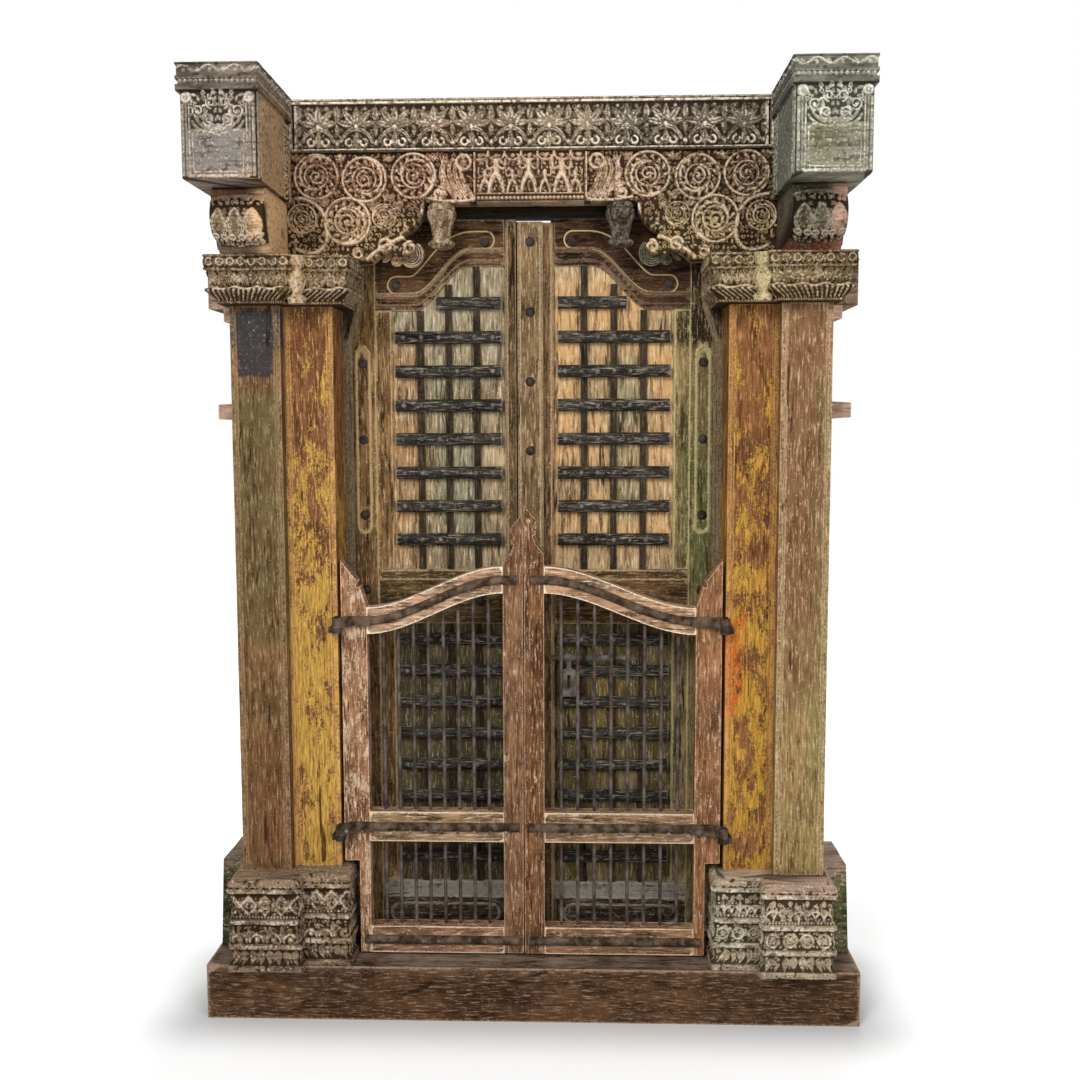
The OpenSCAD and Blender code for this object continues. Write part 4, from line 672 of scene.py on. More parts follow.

# Carved timbers: colours of the ground's painted shade and grain, the body and the worn ridges, and patches
# of tint
CARVED = {
    "lintel": ((0.04, 0.022, 0.01), (0.235, 0.178, 0.116), (0.80, 0.68, 0.53), [
        ((0.14, 0.125, 0.085), (0.2, -1, 0), (0.9, 1, 3), 0.9),
        (REDDISH, (-0.3, -1, 2.28), (-0.05, 1, 2.34), 0.5)]),
    "spandrel": ((0.045, 0.02, 0.008), (0.29, 0.18, 0.105), (0.70, 0.53, 0.385), [
        (REDDISH, (-0.64, -1, 2.14), (0.15, 1, 3), 0.55),
        (OLIVE, (0.34, -1, 1.9), (1, 1, 3), 0.6),
        ((0.50, 0.34, 0.18), (-0.7, -1, 1.9), (-0.3, 1, 2.1), 1.3),
        ((0.46, 0.34, 0.16), (0.3, -1, 1.9), (0.7, 1, 2.1), 1.3)]),
    "frieze": ((0.08, 0.04, 0.018), (0.46, 0.305, 0.195), (0.68, 0.52, 0.385)),
    "beam_left": ((0.05, 0.036, 0.022), (0.34, 0.285, 0.22), (0.60, 0.52, 0.43), [
        ((0.21, 0.19, 0.17), (-0.79, -0.3, 2.14), (-0.64, -0.25, 2.25), 1.4),
        (PINK, (-0.8, -0.3, 2.1), (-0.6, -0.25, 2.15), 0.9),
        ((0.50, 0.31, 0.15), (-0.645, -0.25, 2.1), (-0.60, 0.3, 2.36), 1.4)]),
    "beam_right": ((0.07, 0.064, 0.042), (0.40, 0.385, 0.30), (0.70, 0.68, 0.57), [
        ((0.19, 0.182, 0.104), (0.64, -0.3, 2.14), (0.79, -0.25, 2.25), 1.4),
        ((0.15, 0.15, 0.11), (0.60, -0.25, 2.1), (0.645, 0.3, 2.4), 1.7)]),
    "capital_left": ((0.04, 0.02, 0.007), (0.165, 0.108, 0.057), (0.60, 0.47, 0.33), [
        (OCHRE, (-0.605, -1, 1.8), (-0.555, 0.1, 2), 0.8),
        (PINK, (-0.85, 0.03, 1.8), (-0.76, 1, 2), 1.2)]),
    "capital_right": ((0.04, 0.022, 0.006), (0.17, 0.115, 0.056), (0.60, 0.47, 0.30), [
        ((0.36, 0.31, 0.13), (0.555, -1, 1.8), (0.605, 0.1, 2), 0.9),
        (PINK, (0.76, 0.03, 1.8), (0.9, 1, 2), 1.4)]),
    "corbel_left": ((0.03, 0.014, 0.006), (0.22, 0.15, 0.086), (0.60, 0.47, 0.34), [
        (REDDISH, (-0.8, -0.3, 2.1), (-0.6, 0.3, 2.2), 1.2),
        ((0.85, 0.54, 0.28), (-0.66, -0.3, 1.9), (-0.62, 0.3, 2.15), 1.7)]),
    "corbel_right": ((0.012, 0.006, 0.003), (0.095, 0.08, 0.05), (0.34, 0.29, 0.21), [
        ((0.66, 0.40, 0.29), (0.735, -0.3, 1.9), (0.8, 0.3, 2.2), 1.6),
        ((0.16, 0.03, 0.015), (0.6, -0.3, 1.9), (0.8, 0.3, 2.01), 1.0)]),
    "base_left": ((0.035, 0.018, 0.007), (0.23, 0.155, 0.095), (0.60, 0.49, 0.38), [
        ((0.05, 0.06, 0.025), (-0.9, 0.03, 0), (-0.78, 1, 0.375), 1.7),
        ((0.22, 0.17, 0.13), (-0.9, 0.03, 0.375), (-0.6, 1, 0.4), 1.4)]),
    "base_right": ((0.06, 0.04, 0.02), (0.42, 0.325, 0.215), (0.72, 0.62, 0.49), [
        ((0.12, 0.13, 0.045), (0.78, 0.03, 0), (0.9, 1, 0.375), 1.7),
        (PINK, (0.6, -0.2, 0.365), (0.9, 1, 0.4), 1.2),
        ((0.42, 0.40, 0.28), (0.45, -0.2, 0.2), (0.6, 0.2, 0.36), 0.8)]),
    "pendant_left": ((0.025, 0.012, 0.005), (0.17, 0.11, 0.06), (0.5, 0.38, 0.26)),
    "pendant_right": ((0.010, 0.007, 0.004), (0.045, 0.036, 0.022), (0.20, 0.165, 0.12)),
}
carved = {name: carved_paint(name, *look) for name, look in CARVED.items()}

# Plain timbers: colours of the cracks, the body and the worn places, and what differs from the usual
TIMBER = {
    "sill": ((0.03, 0.012, 0.004), (0.086, 0.041, 0.018), (0.29, 0.20, 0.135), dict(
        grain=0, worn_edge=0.9, coarse=2.2,
        tints=[((0.27, 0.20, 0.155), (-0.9, -0.068, 0.139), (0.9, 0.3, 0.2), 1.3)])),
    "outer_post_left": ((0.075, 0.032, 0.01), (0.185, 0.10, 0.042), (0.35, 0.23, 0.125), dict(
        tints=[((0.12, 0.10, 0.04), (-0.8, -1, 1.0), (-0.6, 1, 1.65), 0.9),
               ((0.17, 0.07, 0.03), (-0.8, -1, 0.4), (-0.6, 1, 0.75), 0.8)],
        patches=[(BLACK, (-0.765, -0.2, 1.758), (-0.63, 0.06, 1.853), 0.96, 0.01),
                 (BLACK, (-0.745, -0.2, 1.685), (-0.655, 0.0, 1.758), 0.93, 0.01)])),
    "outer_post_right": ((0.13, 0.062, 0.022), (0.30, 0.175, 0.078), (0.55, 0.39, 0.23), dict(
        tints=[((0.19, 0.085, 0.045), (0.6, -1, 0.9), (0.8, 1, 1.9), 0.9),
               (MOSS, (0.6, -1, 0.3), (0.8, 1, 1.05), 0.45), (MOSS, (0.6, -1, 0.3), (0.8, 1, 0.6), 0.4),
               ((0.17, 0.17, 0.055), (0.735, -1, 0.6), (0.8, 1, 1.7), 0.8)])),
    "inner_post_left": ((0.085, 0.03, 0.010), (0.19, 0.08, 0.035), (0.58, 0.33, 0.12), dict(
        worn_edge=0.6,
        chips=((0.56, 0.32, 0.07), [(0.4, 0.07), (1.0, 0.075), (1.35, 0.01), (1.7, -0.045)], 0.045))),
    "inner_post_right": ((0.075, 0.026, 0.007), (0.19, 0.08, 0.03), (0.54, 0.29, 0.10), dict(
        worn_edge=0.6,
        chips=((0.50, 0.27, 0.045), [(0.4, 0.01), (0.7, 0.045), (1.2, 0.035), (1.6, -0.05)], 0.045),
        patches=[((0.50, 0.10, 0.012), (0.50, -0.2, 0.80), (0.54, 0.06, 1.06), 0.7, 0.045)])),
    "head": ((0.004, 0.002, 0.001), (0.012, 0.007, 0.003), (0.03, 0.02, 0.012), dict(grain=0, worn_edge=0.3)),
    "architrave": ((0.012, 0.007, 0.004), (0.045, 0.03, 0.016), (0.30, 0.22, 0.13), dict(worn_edge=0.55)),
    "lug": ((0.34, 0.18, 0.10), (0.55, 0.36, 0.26), (0.72, 0.54, 0.42), dict(grain=0)),
    "astragal": ((0.06, 0.03, 0.012), (0.20, 0.125, 0.06), (0.50, 0.37, 0.22), dict(worn_edge=0.6)),
    # Below about 1.03 m each board gets a dark tint and a dark patch: partly its own dark lower panels,
    # partly painted shade of the gates.
    "boards_left": ((0.075, 0.045, 0.022), (0.43, 0.315, 0.185), (0.68, 0.53, 0.35), dict(
        worn_edge=0.4,
        tints=[((0.26, 0.27, 0.18), (-0.5, -1, 1.6), (0, 1, 2.1), 0.6),
               ((0.22, 0.245, 0.155), (-0.27, -1, 1.1), (-0.14, 1, 1.7), 0.8),
               ((0.42, 0.22, 0.09), (-0.4, -1, 1.15), (-0.29, 1, 1.8), 0.9),
               ((0.085, 0.085, 0.035), (-0.5, -1, 0.2), (0, 1, 1.03), 1.6)],
        patches=[(DARK_AND_GATE_SHADE, (-0.5, -1, 0.2), (0, 1, 1.02), 0.5, 0.02)])),
    "boards_right": ((0.075, 0.045, 0.02), (0.58, 0.405, 0.22), (0.68, 0.53, 0.33), dict(
        worn_edge=0.4,
        tints=[((0.60, 0.33, 0.13), (0, -1, 1.2), (0.5, 1, 1.95), 0.8),
               ((0.20, 0.24, 0.14), (0.2, -1, 1.3), (0.3, 1, 1.75), 0.7),
               ((0.14, 0.12, 0.035), (0, -1, 0.2), (0.5, 1, 1.03), 1.6),
               ((0.36, 0.21, 0.05), (0.13, -1, 0.55), (0.25, 1, 0.9), 0.7)],
        patches=[(DARK_AND_GATE_SHADE, (0, -1, 0.2), (0.5, 1, 1.02), 0.5, 0.02)])),
    "battens": ((0.010, 0.006, 0.004), (0.030, 0.02, 0.012), (0.11, 0.08, 0.05), dict(worn_edge=0.2)),
    "bars": ((0.012, 0.009, 0.007), (0.04, 0.034, 0.028), (0.34, 0.29, 0.22), dict(grain=0, worn_edge=0.6)),
}

# Rails and stiles of the leaves and the gates, which lie and stand along their grain
LEAF_TONES = {
    "left_hinge_stile": ((0.03, 0.012, 0.003), (0.19, 0.105, 0.042), (0.50, 0.35, 0.18)),
    "left_meeting_stile": ((0.03, 0.014, 0.005), (0.12, 0.072, 0.034), (0.40, 0.28, 0.16)),
    "left_top_rail": ((0.012, 0.004, 0.002), (0.076, 0.038, 0.017), (0.36, 0.25, 0.15)),
    "left_mid_rail": ((0.018, 0.008, 0.003), (0.10, 0.06, 0.024), (0.40, 0.30, 0.17)),
    "left_bottom_rail": ((0.016, 0.009, 0.004), (0.055, 0.034, 0.017), (0.34, 0.29, 0.22)),
    "right_hinge_stile": ((0.026, 0.018, 0.006), (0.27, 0.19, 0.085), (0.50, 0.42, 0.21)),
    "right_meeting_stile": ((0.03, 0.014, 0.005), (0.15, 0.085, 0.04), (0.45, 0.30, 0.17)),
    "right_top_rail": ((0.007, 0.003, 0.001), (0.058, 0.026, 0.013), (0.24, 0.16, 0.10)),
    "right_mid_rail": ((0.018, 0.008, 0.003), (0.11, 0.058, 0.024), (0.42, 0.30, 0.17)),
    "right_bottom_rail": ((0.016, 0.009, 0.004), (0.055, 0.034, 0.017), (0.34, 0.29, 0.22)),
}
GATE_TONES = {
    "left_gate_outer_stile": ((0.09, 0.034, 0.012), (0.27, 0.13, 0.065), (0.76, 0.52, 0.34)),
    "left_gate_meeting_stile": ((0.08, 0.03, 0.01), (0.205, 0.105, 0.052), (0.47, 0.31, 0.2)),
    "left_gate_top_rail": ((0.045, 0.02, 0.009), (0.47, 0.275, 0.165), (0.86, 0.66, 0.50)),
    "left_gate_mid_rail": ((0.05, 0.024, 0.01), (0.30, 0.185, 0.10), (0.66, 0.50, 0.35)),
    "left_gate_bottom_rail": ((0.065, 0.028, 0.011), (0.28, 0.145, 0.08), (0.66, 0.48, 0.35)),
    "right_gate_outer_stile": ((0.115, 0.046, 0.015), (0.285, 0.13, 0.058), (0.56, 0.37, 0.23)),
    "right_gate_meeting_stile": ((0.06, 0.022, 0.006), (0.165, 0.074, 0.03), (0.56, 0.37, 0.25)),
    "right_gate_top_rail": ((0.045, 0.02, 0.009), (0.43, 0.245, 0.13), (0.82, 0.62, 0.46)),
    "right_gate_mid_rail": ((0.05, 0.024, 0.01), (0.28, 0.165, 0.088), (0.62, 0.46, 0.32)),
    "right_gate_bottom_rail": ((0.065, 0.028, 0.011), (0.28, 0.15, 0.075), (0.66, 0.48, 0.33)),
}
# How thickly pale wood shows through on the gates' stiles, and on the rest of them
GATE_CHIPS = {"left_gate_outer_stile": -0.01, "right_gate_outer_stile": -0.07}
FEW_CHIPS = -0.09

for node, tones in LEAF_TONES.items():
    more = dict(grain=2 if node.endswith("stile") else 0, streak=0.3 if node.endswith("top_rail") else 0.6)
    if node.endswith("bottom_rail"):
        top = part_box(node)[1][2]
        more["patches"] = [(MOULDING, (-1, -1, top - 0.045), (1, 0.17, top + 0.01), 0.8, 0.006)]
    if node == "right_hinge_stile":
        # Darker green on the middle of the right hinge stile, and near-black brown at its top beside the
        # capital.
        more["tints"] = [(GREEN, (0.4, -1, 1.1), (0.52, 1, 1.6), 1.2),
                         (NEAR_BLACK_BROWN, (0.4, -1, 1.78), (0.52, 1, 2.2), 1.5)]
    TIMBER[node] = (*tones, more)
for node, tones in GATE_TONES.items():
    chips = (PALE_WOOD, [(0, GATE_CHIPS.get(node, FEW_CHIPS))], 0.03)
    TIMBER[node] = (*tones, dict(grain=2 if node.endswith("stile") else 0, worn_edge=0.9, chips=chips))
timber = {name: timber_paint(name, *tones, **more) for name, (*tones, more) in TIMBER.items()}

# Iron: colours of the dull metal, of the rubbed metal and of the rust
IRON = {
    "strap": ((0.032, 0.02, 0.014), (0.19, 0.135, 0.095), (0.15, 0.075, 0.042)),
    "forged": ((0.022, 0.018, 0.016), (0.085, 0.072, 0.064), (0.07, 0.034, 0.018)),
    "worn_bolt": ((0.08, 0.07, 0.062), (0.24, 0.22, 0.19), (0.12, 0.065, 0.035)),
    "gate_bar": ((0.05, 0.038, 0.032), (0.17, 0.135, 0.115), (0.12, 0.06, 0.034)),
    "stud": ((0.04, 0.035, 0.03), (0.28, 0.25, 0.21), (0.1, 0.055, 0.03)),
}
iron = {name: iron_paint(name, *tones) for name, tones in IRON.items()}


# ---- Carved frame ------------------------------------------------------------------------------


# Depth of the carving on the lintel and on the boards under it
LINTEL_RELIEF, BOARD_RELIEF = 9, 12
# Petals of a lotus: direction, and length and width in shares of the frieze's height
PETALS = ((90, 0.44, 0.19), (50, 0.48, 0.19), (130, 0.48, 0.19), (14, 0.46, 0.17), (166, 0.46, 0.17))


def lotus(relief, at, w, h):
    """One unit of the lintel's frieze: five petals over two drooping leaves, with buds between units."""
    x, z = at
    relief.ball(at, 0.075 * h)
    for angle, length, width in PETALS:
        c, s = math.cos(math.radians(angle)), math.sin(math.radians(angle))
        relief.leaf((x + 0.06 * h * c, z + 0.06 * h * s), angle, length * h, width * h, 1, 0.5)
    relief.leaf((x, z - 0.5 * h), 90, 0.42 * h, 0.17 * h, 0.95, 0.5)
    for s in (-1, 1):
        droop = bend((x + s * 0.03 * w, z - 0.06 * h), (x + s * 0.24 * w, z - 0.13 * h),
                     (x + s * 0.4 * w, z - 0.34 * h))
        relief.stroke(droop, 0.085 * h, 1, (0.7, 0.5), 0.55)
        relief.stroke(arc((x + s * 0.19 * w, z - 0.36 * h), 0.08 * h, 90, 90 - s * 290), 0.04 * h)
        relief.leaf((x + s * 0.5 * w, z + 0.1 * h), 90, 0.4 * h, 0.17 * h, 0.95, 0.5)
        relief.leaf((x + s * 0.5 * w, z + 0.06 * h), -90, 0.3 * h, 0.13 * h, 0.9)
        relief.ball((x + s * 0.5 * w, z - 0.38 * h), 0.07 * h, 0.9)
        relief.ball((x + s * 0.24 * w, z + 0.42 * h), 0.055 * h, 0.85)


def carve_lintel(relief):
    """Row of lotus flowers between a ledge above, a fillet below and two strips at each end."""
    low, high = box_mm("lintel_beam")
    end, border, units = 27, 16, 12
    half = high[0] - end
    pitch = 2 * half / units
    bottom, top = low[2] + 6, high[2] - border
    relief.plate((low[0], top + 2), (high[0], high[2]), 1)
    relief.h[(relief.v > top + 9) & (relief.v < top + 11)] = 0.45
    relief.plate((low[0], low[2]), (high[0], bottom), 0.9)
    for s in (-1, 1):
        for inset in (5, 19):
            relief.plate((s * (high[0] - inset) - 4, bottom), (s * (high[0] - inset) + 4, top), 0.9)
    for k in range(units):
        lotus(relief, ((k + 0.5) * pitch - half, (bottom + top) / 2), pitch, top - bottom)
    relief.foliage((-half, bottom), (half, top), 13, 3, top=0.34)


def rectangle(low, high):
    """Front outline of a box."""
    return np.array([[low[0], low[2]], [high[0], low[2]], [high[0], high[2]], [low[0], high[2]]], float)


low, high = box_mm("lintel_beam")
carved_slab("lintel_beam", rectangle(low, high), low[1] + LINTEL_RELIEF, high[1], LINTEL_RELIEF, 2.3,
            carve_lintel, carved["lintel"])

# Vine roundels of the right side: place across and up, radius, and the way each winds
ROUNDELS = ((555, 2203, 60, -1), (430, 2195, 60, 1), (302, 2203, 60, -1), (594, 2096, 40, 1),
            (476, 2089, 63, -1), (379, 2101, 33, 1))
# Tufts of three leaves between them: place, direction and length
TUFTS = ((366, 2250, 90, 26), (492, 2252, 90, 24), (366, 2152, 80, 26), (536, 2140, 90, 26),
         (250, 2250, 60, 26), (330, 2140, 20, 30), (410, 2132, 90, 24), (610, 2255, 100, 26))
# Stems along the board's edges, each through three places
STEMS = (((610, 2150), (545, 2120), (530, 2040)), ((530, 2040), (560, 2010), (610, 2020)),
         ((279, 2128), (296, 2066), (338, 2046)), ((338, 2046), (395, 2016), (425, 1992)))
# Lower edge of the board, in shares of its width and height
BRACKET_TOP = 0.5357
BRACKET = ((0.277, BRACKET_TOP), (0.282, 0.46), (0.31, 0.37), (0.348, 0.3), (0.395, 0.26), (0.376, 0.2),
           (0.338, 0.19), (0.319, 0.13), (0.357, 0.07), (0.423, 0.06), (0.47, 0.1), (0.517, 0.07), (0.564, 0))


def acanthus(relief, side):
    """Tall leaf between the figures and the first roundel: a round-topped leaf and a flame leaf."""
    for k in range(4):
        x = side * (158 + 15 * k)
        rib = bend((x + side * 12, 2252 - 4 * k), (x + side * 20, 2205), (x - side * 8, 2148))
        relief.stroke(rib, 7.5, 1, (0.7, 1), 0.4)
    relief.stroke(arc((side * 172, 2236), 18, 0, 360), 5)
    relief.ball((side * 172, 2236), 8, 0.8)
    for k in range(3):
        rib = bend((side * (214 + 9 * k), 2250), (side * (232 - 4 * k), 2206), (side * (205 + 16 * k), 2160))
        relief.stroke(rib, 5.5, 1, (0.5, 1), 0.4)
    relief.stroke(arc((side * 236, 2158), (17, 6), 90, 90 + side * 480, 36), 5)
    relief.stroke(bend((side * 146, 2142), (side * 200, 2138), (side * 262, 2146)), 5)
    relief.plate((min(side * 141, side * 147), 2140), (max(side * 141, side * 147), 2262), 0.9)


def carve_spandrel(side):
    """Roundels, tufts and stems of one side, with curls in the bracket and seeds on the ground."""

    def carve(relief):
        for k, (x, z, r, hand) in enumerate(ROUNDELS):
            roundel(relief, (side * x, z), r, side * hand, 11 + k)
        acanthus(relief, side)
        for x, z, angle, length in TUFTS:
            for turn in (-40, 0, 40):
                a = angle if side > 0 else 180 - angle
                relief.leaf((side * x, z - 12), a + turn, length, 12, 0.9)
        for stem in STEMS:
            relief.stroke(bend(*((side * x, z) for x, z in stem)), 6)
        relief.stroke(arc((side * 378, 2028), 15, 0, 330), 5)
        relief.stroke(arc((side * 312, 2020), (17, 8), 90, 450 if side < 0 else -270), 5)
        relief.stroke(arc((side * 448, 2006), (14, 6), 90, 520 if side < 0 else -340), 4.5)
        left, right = sorted((side * X_SPLIT, side * 140))
        relief.foliage((left, 1986), (right, 2264), 12.5, 5, top=0.72)

    return carve


for name, side in SIDES.items():
    node = name + "_spandrel"
    low, high = box_mm(node)
    near, far = (low[0], high[0]) if side > 0 else (high[0], low[0])
    mid_z = low[2] + BRACKET_TOP * (high[2] - low[2])
    outline = [(near, high[2]), (near, mid_z)]
    outline += [(near + u * (far - near), low[2] + v * (high[2] - low[2])) for u, v in BRACKET]
    outline += [(far, low[2]), (far, mid_z), (side * X_BEAM, mid_z), (side * X_BEAM, high[2])]
    carved_slab(node, np.array(outline, float), low[1] + BOARD_RELIEF, high[1], BOARD_RELIEF, 2.2,
                carve_spandrel(side), carved["spandrel"])


def figure(relief, x, z, h):
    """A plain dancer: round head, body, skirted legs apart and raised arms."""
    relief.ball((x, z + 0.86 * h), 0.085 * h)
    relief.stroke([(x, z + 0.8 * h), (x, z + 0.48 * h)], 0.1 * h, 1, (0.9, 0.6))
    for s in (-1, 1):
        leg = bend((x, z + 0.52 * h), (x + s * 0.14 * h, z + 0.3 * h), (x + s * 0.2 * h, z))
        arm = bend((x + s * 0.06 * h, z + 0.72 * h), (x + s * 0.22 * h, z + 0.66 * h),
                   (x + s * 0.26 * h, z + 0.9 * h))
        relief.stroke(leg, 0.075 * h, 0.95, (1.2, 0.7))
        relief.stroke(arm, 0.04 * h, 0.9)


def carve_figures(relief):
    """Tall and small dancers under swags, over a row of beads."""
    low, high = box_mm("figure_frieze")
    relief.plate((low[0], low[2] + 20), (high[0], low[2] + 24), 0.7)
    relief.plate((low[0], low[2]), (high[0], low[2] + 3), 0.6)
    relief.beads((low[0], low[2] + 11), (high[0], low[2] + 11), 27, 5.2)
    for x in (-88, -4, 81):
        figure(relief, x, low[2] + 25, 92)
    for x in (-117, -46, 38, 117):
        figure(relief, x, low[2] + 25, 62)
    for x in np.arange(-130, 140, 42.5):
        relief.stroke(arc((x, high[2] - 2), 22, 180, 360), 3.2, 0.9)
        relief.ball((x, high[2] - 12), 6, 0.8)
    relief.foliage((low[0], low[2] + 26), (high[0], high[2]), 11, 9, top=0.5)


low, high = box_mm("figure_frieze")
carved_slab("figure_frieze", rectangle(low, high), low[1] + BOARD_RELIEF, high[1], BOARD_RELIEF, 2.1,
            carve_figures, carved["frieze"])

# Cross-beam ends: crown bands, a foliage drop and a bare panel in front, strips on the inner side
CROWN_TALL, CROWN_OUT, PANEL_TALL, BEAM_RELIEF = 62, 9, 112, 6
CROWN = ((0, 0), (0.756, 0), (0.762, 9), (0.81, 9), (0.815, 4), (0.855, 4), (0.86, 9), (0.885, 9), (0.89, 6),
         (0.985, 6), (0.988, 9), (1, 9))
# Leaf scrolls of the drop: place from the middle and from the panel's top, and radius
DROP_SCROLLS = ((21, 20, 15), (46, 40, 14), (16, 58, 13))


def carve_beam(kind, relief, length):
    """Crown bands; below them the drop and the panel in front, or strips and beads on the inner side."""
    z0, z1 = box_mm("left_beam_end")[0][2], box_mm("left_beam_end")[1][2]
    crown = z1 - CROWN_TALL
    if kind in ("front", "inner"):
        relief.plate((-9, crown), (length + 9, z1 + 9), 0.5 * FLAT)
        relief.beads((0, crown + 22), (length, crown + 22), round(length / 12), 5, 0.9)
        wave = np.linspace(0, length, round(length / 6))
        relief.stroke(np.stack([wave, z1 - 14 + 7 * np.sin(wave / 9)], 1), 3, 0.95)
        for x in np.arange(14, length - 6, 28.3):
            relief.leaf((x, z1 - 22), 60, 15, 8, 0.9)
    if kind == "front":
        middle, sill = length / 2, z0 + PANEL_TALL
        relief.foliage((20, sill + 34), (length - 20, crown - 2), 13, 21, middle)
        relief.foliage((middle - 44, sill + 2), (middle + 44, sill + 38), 13, 23, middle)
        relief.plate((16, z0), (length - 16, sill), FLAT)
        for s in (-1, 1):
            for z, reach in ((sill, 60), (sill + 10, 52)):
                fringe = bend((middle, z - 4), (middle + s * 0.6 * reach, z - 6),
                              (middle + s * reach, z + 16))
                relief.stroke(fringe, 6, 1, (1, 0.5), 0.5)
            for across, up, r in DROP_SCROLLS:
                at = (middle + s * across, sill + up)
                relief.stroke(arc(at, (r, 0.25 * r), -90, -90 + s * 480, 40), 0.22 * r)
                for turn in (20, 70, 120):
                    root = arc(at, r, 90 - s * turn, 90 - s * turn, 1)[0]
                    relief.leaf(root, 90 - s * (turn - 10), 0.75 * r, 0.45 * r, 0.9)
            relief.ring((middle + s * (middle - 14), crown - 16), 9, 5)
            relief.ball((middle + s * (middle - 14), crown - 16), 5)
            for inset, half, top in ((4, 4, 0.7), (13, 3, 0.62), (20, 2.2, 0.8)):
                relief.plate((middle + s * (middle - inset) - half, z0 + 4),
                             (middle + s * (middle - inset) + half, crown - 30), top)
            panel = [(middle, z0 + 13), (middle + s * (middle - 30), z0 + 13),
                     (middle + s * (middle - 27), sill - 14)]
            crest = bend(panel[-1], (middle + s * (middle - 46), sill - 5), (middle, sill - 16))
            relief.stroke(np.concatenate([panel, crest]), 2.6, 0.95)
        relief.plate((16, z0), (length - 16, z0 + 8), 0.85)
    elif kind == "inner":
        relief.plate((8, z0), (20, crown), 0.7)
        relief.beads((30, z0 + 6), (30, crown), 26, 4.2)
        relief.plate((40, z0), (44, crown), 0.7)
        relief.plate((length - 60, z0), (length - 54, crown), 0.75)
        relief.foliage((length - 52, z0), (length - 4, crown), 12, 31)
        relief.plate((46, z0), (length - 62, crown), FLAT)
    else:
        relief.lift(slice(None), FLAT)
    return BEAM_RELIEF


for name, side in SIDES.items():
    node = name + "_beam_end"
    low, high = box_mm(node)
    inner, outer = sorted((abs(low[0]), abs(high[0])))
    inner, outer = inner + CROWN_OUT, outer - CROWN_OUT
    front, back, lintel_y = low[1] + CROWN_OUT, high[1], box_mm("lintel_beam")[0][1]
    rise = high[2] - low[2]
    levels = [low[2] + share * rise for share, _ in CROWN]

    def crown_inset(kind, z, z0=low[2], rise=rise):
        return 0.0 if kind == "plain" else -profile_at(CROWN, (z - z0) / rise)

    plan = [(outer, back, "outer", 14), (outer, front, "front", 2.4), (inner, front, "inner", 3.2),
            (inner, lintel_y, "plain", 2), (inner + 0.5, lintel_y, "plain", 30),
            (inner + 0.5, back, "plain", 40)]
    rows = step_rows(levels, 2.4)
    wrapped_block(node, plan, rows, crown_inset, carve_beam, carved["beam_" + name], side < 0)

# Capitals: ringed flowers, upright leaves, a wavy ridge and darts, wrapped round both posts
CAPITAL_TALL, CAPITAL_RELIEF = 120, 6
CAPITAL = ((0, 26), (0.06, 23.4), (0.1, 23.4), (0.26, 3), (0.31, 3), (0.34, 13), (0.46, 12), (0.64, 5),
           (0.68, 5), (0.7, 0), (1, 0))
capital_top = box_mm("left_corbel")[0][2]
capital_foot = capital_top - CAPITAL_TALL


def carve_capital(kind, relief, length):
    """Flowers in rings over upright leaves, a wavy ridge, slanting darts and beads."""
    z0, z1 = capital_foot, capital_top
    if kind == "carved":
        n = max(1, round(length / 27))
        for k in range(n):
            x, w = (k + 0.5) * length / n, length / n
            relief.ring((x, z1 - 18), 8.5, 3)
            relief.flower((x, z1 - 18), 6.5, 5, 20 * k, 0.9)
            relief.leaf((x + w / 2, z1 - 32), 90, 24, 7, 0.8)
            for s in (-0.5, 0, 0.5):
                relief.leaf((x + s * w, z0 + 44), 90 + 26 * s, 36, 13, 0.95)
            relief.stroke([(x - w / 4, z0 + 34), (x + w / 4, z0 + 10)], 4.2, 0.95, (1, 0.7))
            relief.stroke([(x + w / 4, z0 + 34), (x + 3 * w / 4, z0 + 10)], 4.2, 0.85, (1, 0.7))
        relief.plate((0, z1 - 5), (length, z1), 0.9)
        relief.plate((0, z0 + 80), (length, z0 + 85), 0.85)
        wave = np.linspace(0, length, max(8, round(length / 5)))
        relief.stroke(np.stack([wave, z0 + 38 + 3 * np.sin(wave / 10)], 1), 3.8, 1)
        relief.beads((0, z0 + 4), (length, z0 + 4), max(2, round(length / 8)), 3.6, 0.9)
        relief.foliage((0, z0 + 42), (length, z1 - 4), 10, 17, top=0.6)
    else:
        relief.lift(slice(None), FLAT)
    return CAPITAL_RELIEF if kind == "carved" else 0


def lathe(profile, at, count, swell):
    """Turned solid about an upright line; swell(angle, k) scales the radius at profile point k."""
    rings = []
    for k, (r, z) in enumerate(profile):
        a = np.linspace(0, TAU, count, endpoint=False)
        radius = r * swell(a, k)
        rings.append(np.stack([at[0] + radius * np.cos(a), at[1] + radius * np.sin(a), np.full(count, z)], 1))
    return np.concatenate(rings), ring_faces(len(profile), count)


# Pot in the corner of each capital: radius and height in shares
POT_TALL, POT_RADIUS = 118, 24
POT = ((0.9, 0), (1, 0.12), (0.55, 0.2), (0.7, 0.3), (1, 0.5), (0.75, 0.66), (0.5, 0.72), (0.95, 0.86),
       (0.95, 1))


def pot_ribs(a, k):
    """Ribs round the belly of a pot."""
    return 1 + 0.06 * np.cos(8 * a) * (k in (3, 4, 5))


def capital_inset(kind, z):
    """How far a capital's carved face stands in at a height."""
    return profile_at(CAPITAL, (z - capital_foot) / CAPITAL_TALL) * (kind == "carved")


